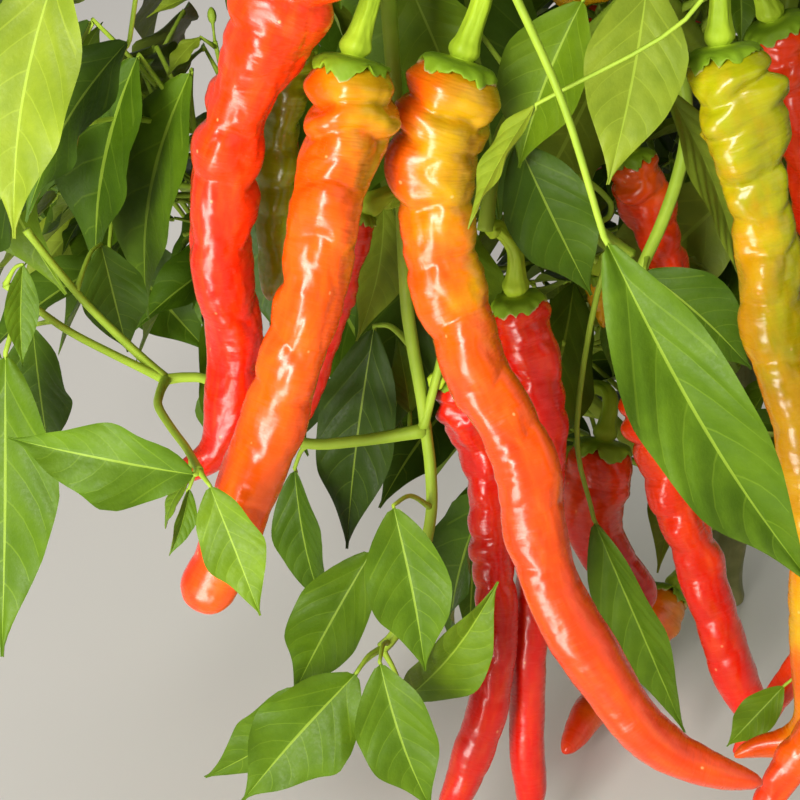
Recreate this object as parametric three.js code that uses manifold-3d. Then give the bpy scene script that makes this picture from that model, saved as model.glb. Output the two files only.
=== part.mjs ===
// A chilli pepper plant in full fruit, rooted in level ground, in millimetres with +Z up.
// The origin is the centre of the flat cut under the main stem. The fruiting front faces -Y.
//
// The stem forks at knee-bend height into boughs, each a tapering limb that ends in a swollen
// node. Leafy shoots start at those nodes. Long wrinkled pods hang on their own stalks. The
// front shoots and pods are laid out by eye on a sloping picture plane. The rest of the crown
// grows by one seeded rule: a shoot forks in two at each node, and leaves stand at the nodes.
import * as THREE from "three";
import { mergeVertices } from "three/addons/utils/BufferGeometryUtils.js";
import Module from "manifold-3d";

const wasm = await Module();
wasm.setup();

// Driving dimensions
const FORK_HEIGHT = 215;
const STEM_FOOT_RADIUS = 9;
const STEM_TOP_RADIUS = 6.4;
const FOOT_FLARE = 3.2;
const FOOT_FLARE_HEIGHT = 14;
const SEAT_GAP = 0.3; // clear space where one piece is carried by another
const SLIM_NODE = 4.5; // nodes of a smaller radius have fewer faces
const LEAF_THICKNESS = 1.5;
const WIDEST = 0.4; // where along its length a blade is widest
const PETIOLE_RADIUS = 1.1;
const PETIOLE_SHARE = 0.42; // length of a petiole, as a share of its blade
const STALK_RADIUS = 2.3; // fruit stalk
const CELL = 4; // side of the cells in which space is booked
const LOWEST = 16; // no leaf comes nearer to the ground

// The picture plane: upright as seen by an eye that looks down at PICTURE_TILT from the front.
// A point on it is given as millimetres across and up from its centre.
const PICTURE_TILT = (28 * Math.PI) / 180;
const PICTURE_DISTANCE = 600;
const PICTURE_CENTRE = [-140, -219, 215];
const PICTURE_HALF = 120;
const OPEN_FRONT = -95; // seeded leaves in front of this depth stay out of the picture

// Small vector helpers on [x, y, z]
const add = (a, b) => [a[0] + b[0], a[1] + b[1], a[2] + b[2]];
const sub = (a, b) => [a[0] - b[0], a[1] - b[1], a[2] - b[2]];
const mul = (a, k) => [a[0] * k, a[1] * k, a[2] * k];
const dot = (a, b) => a[0] * b[0] + a[1] * b[1] + a[2] * b[2];
const cross = (a, b) => [a[1] * b[2] - a[2] * b[1], a[2] * b[0] - a[0] * b[2], a[0] * b[1] - a[1] * b[0]];
const size = (a) => Math.sqrt(dot(a, a));
const unit = (a) => mul(a, 1 / size(a));
const mix = (a, b, t) => add(mul(a, 1 - t), mul(b, t));
const UP = [0, 0, 1];

// The direction the eye looks in, the upward edge of the picture plane, and the eye itself
const VIEW_AXIS = [0, Math.cos(PICTURE_TILT), -Math.sin(PICTURE_TILT)];
const VIEW_UP = [0, Math.sin(PICTURE_TILT), Math.cos(PICTURE_TILT)];
const EYE = sub(PICTURE_CENTRE, mul(VIEW_AXIS, PICTURE_DISTANCE));

// The point at depth y that the eye sees at (across, up) on the picture plane.
function seen(across, up, y) {
  const ray = add(add(mul(VIEW_AXIS, PICTURE_DISTANCE), [across, 0, 0]), mul(VIEW_UP, up));
  return add(EYE, mul(ray, (y - EYE[1]) / ray[1]));
}

// Whether a point lies in the open space before the picture's fruit and leaves.
function inOpenFront(p) {
  if (p[1] > OPEN_FRONT) return false;
  const ray = sub(p, EYE);
  const scale = PICTURE_DISTANCE / dot(ray, VIEW_AXIS);
  return Math.abs(ray[0] * scale) < PICTURE_HALF && Math.abs(dot(ray, VIEW_UP) * scale) < PICTURE_HALF;
}

// A repeatable stream of numbers from 0 to 1.
function seeded(seed) {
  let state = seed;
  return () => {
    state = (state * 16807) % 2147483647;
    return state / 2147483647;
  };
}

// Catmull-Rom curve through points of any number of coordinates, with `steps` spans between each two.
function smooth(points, steps) {
  const curve = [];
  for (let i = 0; i + 1 < points.length; i++) {
    const [b, c] = [points[i], points[i + 1]];
    const a = points[i - 1] ?? b.map((v, k) => 2 * v - c[k]);
    const d = points[i + 2] ?? c.map((v, k) => 2 * v - b[k]);
    for (let s = 0; s < steps; s++) {
      const t = s / steps;
      curve.push(
        b.map(
          (v, k) =>
            0.5 *
            (2 * v +
              (c[k] - a[k]) * t +
              (2 * a[k] - 5 * v + 4 * c[k] - d[k]) * t * t +
              (3 * v - a[k] - 3 * c[k] + d[k]) * t * t * t),
        ),
      );
    }
  }
  curve.push(points.at(-1));
  return curve;
}

// Two unit vectors across each point of a line, carried along it without twist.
function crossFrames(line) {
  const frames = [];
  let across;
  line.forEach((p, i) => {
    const ahead = unit(sub(line[Math.min(i + 1, line.length - 1)], line[Math.max(i - 1, 0)]));
    const guess = across ?? (Math.abs(ahead[2]) < 0.9 ? cross(ahead, UP) : cross(ahead, [0, 1, 0]));
    across = unit(sub(guess, mul(ahead, dot(guess, ahead))));
    frames.push([across, cross(ahead, across)]);
  });
  return frames;
}

// A closed solid through rings of equal count. It ends in a point where `tip` is given.
function loft(rings, tip) {
  const count = rings[0].length;
  const corners = rings.flat();
  const faces = [];
  for (let i = 1; i + 1 < count; i++) faces.push([0, i + 1, i]);
  for (let r = 0; r + 1 < rings.length; r++)
    for (let i = 0; i < count; i++) {
      const [a, b] = [r * count + i, r * count + ((i + 1) % count)];
      faces.push([a, b, b + count], [a, b + count, a + count]);
    }
  const last = (rings.length - 1) * count;
  if (tip) corners.push(tip);
  for (let i = tip ? 0 : 1; i + (tip ? 0 : 1) < count; i++)
    faces.push(tip ? [last + i, last + ((i + 1) % count), corners.length - 1] : [last, last + i, last + i + 1]);
  return solidOf(corners, faces);
}

function solidOf(corners, faces) {
  let volume = 0;
  for (const [a, b, c] of faces) volume += dot(corners[a], cross(corners[b], corners[c]));
  const triVerts = new Uint32Array((volume < 0 ? faces.map(([a, b, c]) => [a, c, b]) : faces).flat());
  return new wasm.Manifold(new wasm.Mesh({ numProp: 3, vertProperties: new Float32Array(corners.flat()), triVerts }));
}

// A tube of `sides` sides along a line, with a radius at each point.
function tube(line, radii, sides, tip) {
  const frames = crossFrames(line);
  const rings = line.map((p, i) =>
    Array.from({ length: sides }, (_, k) => {
      const turn = (2 * Math.PI * k) / sides;
      const [u, v] = frames[i];
      return add(p, add(mul(u, radii[i] * Math.cos(turn)), mul(v, radii[i] * Math.sin(turn))));
    }),
  );
  return loft(rings, tip);
}

// The swollen node in which a limb ends. A slim limb's node has twenty faces, and its corners stand
// out a little, so that its faces come as near to the next limb.
function nodeBall(centre, radius) {
  const slim = radius < SLIM_NODE;
  const ball = new THREE.IcosahedronGeometry(slim ? 1.06 * radius : radius, slim ? 0 : 1).translate(...centre);
  ball.deleteAttribute("normal");
  ball.deleteAttribute("uv");
  const merged = mergeVertices(ball, 1e-3);
  const triVerts = new Uint32Array(merged.index.array);
  return new wasm.Manifold(new wasm.Mesh({ numProp: 3, vertProperties: merged.attributes.position.array, triVerts }));
}

// The outer skin of a solid: its largest shell, without the pockets shut in where twigs cross.
function outerShell({ vertProperties, triVerts }) {
  const link = Array.from({ length: vertProperties.length / 3 }, (_, i) => i);
  const rootOf = (i) => {
    while (link[i] !== i) i = link[i] = link[link[i]];
    return i;
  };
  const shells = new Map();
  for (let i = 0; i < triVerts.length; i += 3) {
    link[rootOf(triVerts[i])] = rootOf(triVerts[i + 1]);
    link[rootOf(triVerts[i + 1])] = rootOf(triVerts[i + 2]);
  }
  for (let i = 0; i < triVerts.length; i += 3) {
    const shell = rootOf(triVerts[i]);
    if (!shells.has(shell)) shells.set(shell, []);
    shells.get(shell).push(triVerts[i], triVerts[i + 1], triVerts[i + 2]);
  }
  return [...shells.values()].reduce((a, b) => (b.length > a.length ? b : a));
}

function meshOf(name, solid, colour, roughness) {
  const made = solid.getMesh();
  const geometry = new THREE.BufferGeometry()
    .setAttribute("position", new THREE.BufferAttribute(new Float32Array(made.vertProperties), 3))
    .setIndex(outerShell(made));
  geometry.computeVertexNormals();
  const mesh = new THREE.Mesh(geometry, new THREE.MeshStandardMaterial({ color: colour, roughness, metalness: 0 }));
  mesh.name = name;
  return mesh;
}

// Space is booked in cells, so that pieces of different owners stay a cell apart.
const booked = new Map();
const cellOf = (p) => p.map((v) => Math.floor(v / CELL) + 512);
const keyOf = (x, y, z) => (x * 1024 + y) * 1024 + z;

function book(points, owner, part) {
  for (const p of points) {
    const key = keyOf(...cellOf(p));
    if (!booked.has(key)) booked.set(key, []);
    booked.get(key).push([owner, part]);
  }
}

// Free if no other owner's cell touches a point's cell, and a blade shares no cell with its own blades.
function isFree(points, owner, part) {
  for (const p of points) {
    const [x, y, z] = cellOf(p);
    const here = booked.get(keyOf(x, y, z)) ?? [];
    if (part === "blade" && here.some(([o, kind]) => o === owner && kind === "blade")) return false;
    for (let i = -1; i <= 1; i++)
      for (let j = -1; j <= 1; j++)
        for (let k = -1; k <= 1; k++)
          if ((booked.get(keyOf(x + i, y + j, z + k)) ?? []).some(([o]) => o !== owner)) return false;
  }
  return true;
}

// Points along a tapering line and round it, close enough to book its cells.
function tubeSamples(line, radii) {
  const found = [];
  const frames = crossFrames(line);
  for (let i = 0; i + 1 < line.length; i++) {
    const steps = Math.ceil(size(sub(line[i + 1], line[i])) / (0.8 * CELL));
    for (let s = 0; s <= steps; s++) {
      const t = s / steps;
      const centre = mix(line[i], line[i + 1], t);
      const radius = radii[i] * (1 - t) + radii[i + 1] * t;
      found.push(centre);
      for (let k = 0; k < 8 && radius > 0.4 * CELL; k++) {
        const [u, v] = frames[i];
        const turn = (Math.PI * k) / 4;
        found.push(add(centre, add(mul(u, radius * Math.cos(turn)), mul(v, radius * Math.sin(turn)))));
      }
    }
  }
  return found;
}

// The limbs. Each starts at its parent's end node, or at the side of the main stem at height `rise`.
const LIMBS = [
  { name: "main_stem", through: [[2, -3, 70], [-2, 2, 145], [0, 0, FORK_HEIGHT]], node: 9.4 },
  { name: "bough_front", parent: "main_stem", through: [[-34, -50, 268], [-62, -105, 310]], radii: [4.2, 3.9], node: 6.2 },
  { name: "bough_right", parent: "main_stem", through: [[56, -10, 262], [102, -14, 302]], radii: [4.2, 3.9], node: 5.6 },
  { name: "bough_back", parent: "main_stem", through: [[-4, 54, 265], [-10, 98, 305]], radii: [4.2, 3.9], node: 5.6 },
  { name: "bough_left", parent: "main_stem", through: [[-60, 22, 268], [-112, 34, 300]], radii: [4.4, 3.8], node: 5 },
  { name: "bough_top", parent: "main_stem", through: [[10, 6, 295], [8, 8, 372]], radii: [4, 3.2], node: 4.2 },
  { name: "bough_front_left", parent: "bough_front", through: [[-108, -148, 334], [-146, -170, 346]], radii: [3.3, 2.9], node: 4 },
  { name: "bough_front_right", parent: "bough_front", through: [[-50, -142, 337], [-38, -180, 358]], radii: [3.2, 2.8], node: 3.9 },
  { name: "bough_right_front", parent: "bough_right", through: [[124, -58, 332], [138, -98, 352]], radii: [3.3, 2.8], node: 3.9 },
  { name: "bough_right_back", parent: "bough_right", through: [[136, 22, 338], [156, 60, 360]], radii: [3.3, 2.8], node: 3.9 },
  { name: "bough_back_right", parent: "bough_back", through: [[20, 126, 338], [50, 152, 358]], radii: [3.3, 2.8], node: 3.9 },
  { name: "bough_back_left", parent: "bough_back", through: [[-50, 130, 338], [-82, 152, 356]], radii: [3.3, 2.8], node: 3.9 },
  { name: "bough_left_front", parent: "bough_left", through: [[-148, -4, 326], [-172, -34, 342]], radii: [3.1, 2.7], node: 3.8 },
  { name: "low_bough_left", parent: "main_stem", rise: 44, through: [[-52, -36, 104], [-95, -60, 160]], radii: [3.6, 3], node: 4 },
  { name: "low_bough_right", parent: "main_stem", rise: 74, through: [[50, -40, 120], [88, -66, 168]], radii: [3.4, 2.8], node: 3.8 },
  { name: "low_bough_back", parent: "main_stem", rise: 92, through: [[16, 50, 136], [32, 92, 182]], radii: [3.4, 2.8], node: 3.8 },
  { name: "low_bough_front", parent: "main_stem", rise: 118, through: [[-18, -30, 148], [-48, -50, 176]], radii: [3, 2.5], node: 3.3 },
];

// The pods of the picture. Each hangs by the points of `through`: across, up and depth. `keep` is
// the share of the shoulder radius left before the tip, and `taper` the share of the length that
// runs out to a point.
const PICTURE_PODS = [
  {
    name: "pod_red_left", on: "bough_front_left", ripe: "red", radius: 14, keep: 0.66, taper: 0.42,
    through: [[-26, 135, -204], [-40, 105, -204], [-54, 62, -203], [-49, 20, -199], [-53, -14, -200], [-72, -26, -206]],
  },
  {
    name: "pod_orange_left", on: "bough_front_left", ripe: "orange", radius: 12.4, keep: 0.8, taper: 0.05,
    through: [[-14, 101, -198], [-17, 72, -203], [-27, 30, -216], [-39, -12, -225], [-59, -62, -236]],
  },
  {
    name: "pod_orange_centre", on: "bough_front_left", ripe: "amber", radius: 13.8, keep: 0.72, taper: 0.2,
    through: [[18, 100, -178], [9, 66, -183], [15, 28, -190], [36, -18, -202], [48, -60, -215], [75, -101, -230], [107, -113, -236]],
  },
  {
    name: "pod_yellow_right", on: "bough_front_right", ripe: "yellow", radius: 13.2, keep: 0.72, taper: 0.3,
    through: [[94, 104, -165], [104, 66, -170], [112, 16, -177], [121, -36, -187], [121, -92, -197], [98, -105, -201]],
  },
  {
    name: "pod_red_centre", on: "shoot_front_middle", ripe: "red", radius: 10, keep: 0.7, taper: 0.12,
    through: [[34, 31, -142], [40, 8, -144], [42, -30, -151], [38, -76, -163], [38, -125, -176]],
  },
  {
    name: "pod_red_curled", on: "shoot_front_weeping", ripe: "red", radius: 8.8, keep: 0.96, taper: 0.24,
    through: [[15, 8, -150], [24, -18, -155], [29, -62, -169], [26, -90, -179], [12, -128, -190]],
  },
  {
    name: "pod_red_low", on: "shoot_front_middle", ripe: "red", radius: 11.2, keep: 0.86, taper: 0.2,
    through: [[73, 6, -118], [79, -20, -122], [89, -54, -129], [106, -98, -142]],
  },
  {
    name: "pod_red_shaded", on: "low_bough_left", ripe: "dark", radius: 12.6, keep: 0.95, taper: 0.14,
    through: [[60, -12, -84], [57, -36, -88], [72, -62, -94]],
  },
  {
    name: "pod_orange_low", on: "low_bough_left", ripe: "orange", radius: 9.6, keep: 0.9, taper: 0.4,
    through: [[80, -56, -58], [68, -76, -80], [48, -104, -122]],
  },
  {
    name: "pod_red_right", on: "bough_front_right", ripe: "red", radius: 12, keep: 0.76, taper: 0.25,
    through: [[110, 112, -112], [122, 70, -112], [127, 20, -116], [122, -38, -124]],
  },
  {
    name: "pod_red_behind", on: "bough_front", ripe: "scarlet", radius: 9.6, keep: 0.72, taper: 0.2,
    through: [[67, 73, -98], [79, 42, -99], [85, 14, -98], [82, -18, -95]],
  },
  {
    name: "pod_green_left", on: "bough_front_left", ripe: "green", radius: 8.6, keep: 0.86, taper: 0.3,
    through: [[-31, 108, -173], [-36, 78, -173], [-38, 29, -174]],
  },
  {
    name: "pod_yellow_top", on: "bough_front", ripe: "yellow", radius: 9.4, keep: 0.9, taper: 0.2,
    through: [[77, 132, -66], [64, 125, -66], [44, 119, -68]],
  },
  {
    name: "pod_red_slim", on: "shoot_front_weeping", ripe: "dark", radius: 5.2, keep: 0.8, taper: 0.5,
    through: [[-11, 56, -168], [-17, 30, -167], [-27, -6, -164]],
  },
];

// The pods of the rest of the plant: the limb, how far along it, the stalk's heading in degrees
// round from +X, the length and shoulder radius, the way and share by which the pod bows, its colour.
const CROWN_PODS = [
  { on: "bough_right_front", along: 0.75, heading: -20, length: 205, radius: 14, bow: 0.1, ripe: "red" },
  { on: "bough_right_front", along: 0.3, heading: -70, length: 150, radius: 12.4, bow: -0.1, ripe: "orange" },
  { on: "bough_right_back", along: 0.8, heading: 20, length: 190, radius: 13.4, bow: 0.13, ripe: "yellow" },
  { on: "bough_right_back", along: 0.4, heading: 110, length: 210, radius: 14, bow: -0.08, ripe: "red" },
  { on: "bough_back_right", along: 0.7, heading: 100, length: 200, radius: 13.6, bow: 0.1, ripe: "amber" },
  { on: "bough_back_left", along: 0.75, heading: 95, length: 190, radius: 13.2, bow: -0.12, ripe: "red" },
  { on: "bough_back_left", along: 0.3, heading: 170, length: 215, radius: 14, bow: 0.09, ripe: "scarlet" },
  { on: "bough_left", along: 0.85, heading: 120, length: 190, radius: 13, bow: 0.12, ripe: "yellow" },
  { on: "bough_left_front", along: 0.7, heading: 175, length: 200, radius: 13.8, bow: -0.1, ripe: "orange" },
  { on: "low_bough_right", along: 0.85, heading: -75, length: 118, radius: 11.6, bow: 0.16, ripe: "green" },
];
const CROWN_POD_KEEP = 0.7;
const CROWN_POD_TAPER = 0.3;
const POD_RING_SPACING = 32;
const NECK_SHARE = 0.62; // radius of a pod under its calyx, as a share of its shoulder
const SHOULDER_AT = 9; // millimetres from calyx to shoulder

// The front shoots. A stem is a line on the picture plane: across, up and depth. It starts at
// `from`, which is the shoot's own root or a point of its first stem. A leaf is its blade's foot
// and tip on the picture plane, its width, the turn of its face from the eye, and how much it arches.
const PICTURE_SHOOTS = [
  {
    name: "shoot_front_weeping", parent: "bough_front_left",
    stems: [
      { through: [[-4, 122, -166], [-1, 81, -162], [0.6, 54, -160], [2, 27, -160], [5.4, 6, -160], [7.5, -9, -161], [9, -34, -176], [1, -64, -186], [-5.4, -73, -189]], radii: [2.4, 1.7] },
      { from: [7.5, -9, -161], through: [[-26, -13, -162], [-45, -4, -162], [-57, 6, -164], [-69, 6, -166]], radii: [1.9, 1.5] },
      { from: [-69, 6, -166], through: [[-92, 28, -166], [-110, 50, -168]], radii: [1.5, 1.1] },
      { from: [-69, 6, -166], through: [[-97, 20, -176], [-116, 34, -184]], radii: [1.4, 1.1] },
      { from: [-69, 6, -166], through: [[-71, -2, -200], [-63, -14, -226], [-59, -21, -244]], radii: [1.4, 1.1] },
      { from: [7, -8, -161], through: [[12.6, 14, -160]], radii: [1.5, 1.3] },
    ],
    leaves: [
      [[-60, -22, -246], [-115.5, -11, -240], 28, -16, 5],
      [[-56, -25, -250], [-41, -63.6, -258], 20, 14, 3],
      [[-62, -26, -246], [-68, -46, -250], 8, -40, 2],
      [[-4.5, 68, -176], [-14.4, 15.6, -184], 22, -28, 4],
      [[-7.5, 22, -140], [-15.6, -44, -132], 26, 12, 4],
      [[3, -4, -152], [-1.2, 19.5, -146], 11, 30, 2],
      [[-2, -31, -200], [7.5, -80, -212], 28, 8, 4],
      [[-8, -44, -168], [-31.5, -87, -168], 26, 10, 4],
      [[-12.6, -80, -204], [-46.5, -118, -214], 31, -10, 4],
      [[-15, -84, -186], [-57.6, -111, -180], 26, -18, 3],
      [[-6, -77, -212], [9.6, -121, -224], 26, 10, 4],
      [[1.5, -88, -196], [29, -53, -206], 24, 24, 3],
      [[-111, 40, -190], [-111, 9.6, -196], 11, -20, 2],
      [[-108, 22, -172], [-103, -16, -160], 22, 14, 3],
      [[-120, 30, -200], [-121, -79, -226], 29, 22, 5],
      [[-31, -20, -150], [-22, -62, -146], 18, 26, 3],
      [[-88, 46, -140], [-80, 14, -132], 20, -12, 3],
    ],
  },
  {
    name: "shoot_front_middle", parent: "bough_front",
    stems: [
      { through: [[66, 118, -116], [58, 110, -122], [43, 97, -130], [31, 81, -138], [27, 66, -142], [25, 50, -145]], radii: [2.6, 2.2] },
      { from: [66, 118, -116], through: [[54, 134, -150], [38, 136, -186], [33, 122, -214]], radii: [1.7, 1.4] },
      { from: [66, 118, -116], through: [[80, 106, -124], [84.3, 78, -128], [77, 52, -126], [70, 36, -124], [69, 22, -122]], radii: [2.3, 2] },
    ],
    leaves: [
      [[60, 48, -238], [123.6, -57, -228], 46, 16, 7, [[33, 121, -212], [48, 87, -228]]],
      [[2, 124, -146], [17, 88, -150], 29, 20, 3],
      [[54, 118, -160], [35, 68, -158], 31, 16, 4],
      [[73, 125, -172], [61, 63, -182], 31, -8, 4],
      [[78, 92, -146], [101.4, 30, -156], 20, -38, 3],
      [[34.5, 76, -150], [56.4, 30.6, -150], 28, 10, 4],
      [[72, 38, -136], [103.5, 9, -140], 24, 6, 3],
    ],
  },
];

// The picture's leaves that belong to seeded shoots.
const EXTRA_LEAVES = {
  crown_front_left: [
    [[-99.6, 131, -242], [-113.4, 47, -250], 35, 6, 5],
    [[-79.5, 106, -214], [-110, 52, -222], 34, 30, 4],
  ],
  crown_front_right: [[[40, 87, -216], [20, 50, -214], 11, 66, 2, [[100, 132, -206], [87, 114, -212]]]],
  crown_low_front: [[[53, -31, -150], [89, -100, -160], 22, 34, 4, [[50, -8, -100], [52, -22, -136]]]],
};

// The seeded shoots: their limb, heading, the centre and half-sizes of their space, and the seed.
const CROWN = [
  { name: "crown_low_left", parent: "low_bough_left", heading: [-0.8, 0.2, 0.45], centre: [-176, -20, 190], reach: [140, 112, 124], seed: 121 },
  { name: "crown_low_front", parent: "low_bough_front", heading: [-0.7, 0.1, 0.7], centre: [-96, -40, 196], reach: [110, 64, 100], seed: 454 },
  { name: "crown_front_left", parent: "bough_front_left", heading: [-0.45, -0.2, 0.85], centre: [-176, -160, 430], reach: [124, 124, 124], seed: 101 },
  { name: "crown_front_right", parent: "bough_front_right", heading: [0.25, -0.3, 0.9], centre: [-16, -160, 440], reach: [116, 116, 120], seed: 202 },
  { name: "crown_right_front", parent: "bough_right_front", heading: [0.4, -0.35, 0.8], centre: [156, -116, 410], reach: [124, 124, 132], seed: 303 },
  { name: "crown_right_back", parent: "bough_right_back", heading: [0.45, 0.25, 0.8], centre: [168, 70, 414], reach: [122, 122, 132], seed: 404 },
  { name: "crown_back_right", parent: "bough_back_right", heading: [0.2, 0.45, 0.8], centre: [56, 168, 410], reach: [122, 120, 132], seed: 505 },
  { name: "crown_back_left", parent: "bough_back_left", heading: [-0.3, 0.4, 0.8], centre: [-96, 166, 408], reach: [122, 122, 132], seed: 606 },
  { name: "crown_left_back", parent: "bough_left", heading: [-0.5, 0.3, 0.7], centre: [-176, 66, 380], reach: [122, 120, 132], seed: 707 },
  { name: "crown_left_front", parent: "bough_left_front", heading: [-0.5, -0.2, 0.8], centre: [-210, -56, 400], reach: [108, 106, 124], seed: 808 },
  { name: "crown_top", parent: "bough_top", heading: [0, 0, 1], centre: [4, 6, 486], reach: [150, 144, 140], seed: 909 },
  { name: "crown_low_right", parent: "low_bough_right", heading: [0.6, -0.4, 0.5], centre: [134, -90, 206], reach: [120, 108, 120], seed: 232 },
  { name: "crown_low_back", parent: "low_bough_back", heading: [0.3, 0.6, 0.5], centre: [40, 136, 208], reach: [140, 108, 120], seed: 343 },
];
const SHOOT_LEVELS = 2; // forks in a row along a seeded shoot
const INTERNODE = 60;
const TWIG_RADIUS = 2.3;
const TWIG_TAPER = 0.76;
const FORK_TURN = 0.62; // radians by which each of two twigs turns off at a fork
const BLADE_LENGTH = 92;
const LEAF_PLACES = [0.3, 0.52, 0.74, 0.96]; // along a twig
const LEAF_TURN = 2.2; // radians round the twig from one leaf to the next
const TRIES = 8;

// Limbs: lines with radii, and where their children start
const limbs = new Map();
for (const limb of LIMBS) {
  const parent = limbs.get(limb.parent);
  let line;
  let radii;
  if (!parent) {
    line = [[0, 0, 0], ...smooth([[0, 0, FOOT_FLARE_HEIGHT], ...limb.through], 2)];
    radii = line.map(([, , z]) => STEM_FOOT_RADIUS + ((STEM_TOP_RADIUS - STEM_FOOT_RADIUS) * z) / FORK_HEIGHT);
    radii[0] += FOOT_FLARE;
  } else {
    const start = limb.rise ? onStem(parent, limb.rise) : { centre: parent.end, radius: parent.node };
    const ahead = sub(limb.through[0], start.centre);
    if (limb.rise) ahead[2] = 0;
    const root = add(start.centre, mul(unit(ahead), start.radius + SEAT_GAP));
    line = [root, ...smooth([add(root, mul(unit(ahead), 2)), ...limb.through], 2)];
    radii = line.map((_, i) => limb.radii[0] + ((limb.radii[1] - limb.radii[0]) * i) / (line.length - 1));
  }
  limbs.set(limb.name, { line, radii, end: line.at(-1), node: limb.node });
}

// The centre and radius of a limb at a height.
function onStem(limb, height) {
  const i = limb.line.findIndex(([, , z]) => z > height) - 1;
  const t = (height - limb.line[i][2]) / (limb.line[i + 1][2] - limb.line[i][2]);
  return { centre: mix(limb.line[i], limb.line[i + 1], t), radius: limb.radii[i] * (1 - t) + limb.radii[i + 1] * t };
}

// The point of a line nearest to a target, with the radius there.
function nearestOn(line, radii, target) {
  let best;
  for (let i = 0; i + 1 < line.length; i++) {
    const along = sub(line[i + 1], line[i]);
    const t = Math.min(1, Math.max(0, dot(sub(target, line[i]), along) / dot(along, along)));
    const centre = mix(line[i], line[i + 1], t);
    const away = size(sub(target, centre));
    if (!best || away < best.away) best = { centre, away, along: unit(along), radius: radii[i] * (1 - t) + radii[i + 1] * t };
  }
  return best;
}

// Pods: a stalk from its seat on a limb or stem, then the pod from calyx to tip
function stalkTo(carrier, calyx, podHeading) {
  const seat = nearestOn(carrier.line, carrier.radii, calyx);
  const lift = add(calyx, mul(podHeading, -0.45 * seat.away));
  const away = sub(lift, seat.centre);
  const side = unit(sub(away, mul(seat.along, dot(away, seat.along))));
  const reachesNode = carrier.node && size(sub(seat.centre, carrier.end)) < carrier.node + STALK_RADIUS;
  const radius = reachesNode ? carrier.node : seat.radius;
  const centre = reachesNode ? carrier.end : seat.centre;
  const heading = reachesNode ? unit(sub(lift, carrier.end)) : side;
  const root = add(centre, mul(heading, radius + SEAT_GAP));
  return [root, add(root, mul(heading, 3)), mix(root, lift, 0.7), calyx];
}

// The radius of a pod at a distance from its calyx.
function podRadius({ radius, keep, taper }, long, at) {
  const t = at / long;
  const shoulder = Math.min(1, at / SHOULDER_AT);
  const neck = NECK_SHARE + (1 - NECK_SHARE) * Math.sin(0.5 * Math.PI * shoulder);
  const run = t > 1 - taper ? Math.sqrt(Math.max(0, 1 - ((t - 1 + taper) / taper) ** 2)) : 1;
  return radius * neck * (1 - (1 - keep) * t) * run;
}

// Rings along the pod: one at the calyx, one at the shoulder, then at even spacing to the blunt end.
function podRings(shape, points) {
  const fine = smooth(points, 8);
  const at = [0];
  for (let i = 1; i < fine.length; i++) at.push(at[i - 1] + size(sub(fine[i], fine[i - 1])));
  const long = at.at(-1);
  const places = [0, SHOULDER_AT];
  const count = Math.round((long - SHOULDER_AT) / POD_RING_SPACING);
  for (let i = 1; i < count; i++) places.push(SHOULDER_AT + ((long - SHOULDER_AT) * i) / count);
  places.push(long * (1 - 0.25 * shape.taper), long * (1 - 0.03 * shape.taper));
  return places.map((place) => {
    const i = Math.max(1, at.findIndex((v) => v > place));
    const centre = mix(fine[i - 1], fine[i], (place - at[i - 1]) / (at[i] - at[i - 1]));
    return { centre, radius: podRadius(shape, long, place) };
  });
}

// The whole fruit's line and radii: stalk, swollen receptacle, calyx and pod.
function fruitOf(name, ripe, carrier, shape, points) {
  const heading = unit(sub(points[1], points[0]));
  const stalk = stalkTo(carrier, points[0], heading).slice(0, -1);
  const pod = podRings(shape, points);
  const swell = stalk.map((_, i) => STALK_RADIUS * (1 + 0.5 * (i / stalk.length) ** 3));
  const line = [...stalk, ...pod.map((ring) => ring.centre)];
  return { name, ripe, line, radii: [...swell, ...pod.map((ring) => ring.radius)], tip: points.at(-1) };
}

// A pod that hangs from a limb by the seeded plant's own habit: out on its stalk, then down.
function hangingPoints(limb, spec) {
  const turn = (spec.heading * Math.PI) / 180;
  const out = [Math.cos(turn), Math.sin(turn), 0];
  const bowWay = [-Math.sin(turn), Math.cos(turn), 0];
  const place = spec.along * (limb.line.length - 1);
  const i = Math.min(Math.floor(place), limb.line.length - 2);
  const seat = mix(limb.line[i], limb.line[i + 1], place - i);
  const calyx = add(seat, add(mul(out, 24), [0, 0, -14]));
  return [0, 0.25, 0.5, 0.75, 1].map((t) => {
    const bow = spec.bow * spec.length * Math.sin(0.9 * Math.PI * t);
    return add(calyx, add(mul(bowWay, bow), add(mul(out, 10 * t), [0, 0, -0.97 * spec.length * t])));
  });
}

// Shoots of the picture: stems first, because pods hang from them
const shoots = new Map();
for (const shoot of PICTURE_SHOOTS) {
  const parent = limbs.get(shoot.parent);
  const stems = shoot.stems.map((stem, i) => {
    const through = stem.through.map((p) => seen(...p));
    if (i > 0) return stemLine([seen(...stem.from), ...through], stem.radii);
    const ahead = unit(sub(through[0], parent.end));
    return stemLine([add(parent.end, mul(ahead, parent.node + SEAT_GAP)), ...through], stem.radii);
  });
  shoots.set(shoot.name, { stems });
}

function stemLine(points, [first, last]) {
  const line = smooth(points, 2);
  return { line, radii: line.map((_, i) => first + ((last - first) * i) / (line.length - 1)) };
}

function carrierOf(name, calyx) {
  if (limbs.has(name)) return limbs.get(name);
  const nearest = shoots.get(name).stems.map((stem) => ({ stem, away: nearestOn(stem.line, stem.radii, calyx).away }));
  return nearest.reduce((a, b) => (b.away < a.away ? b : a)).stem;
}

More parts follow.
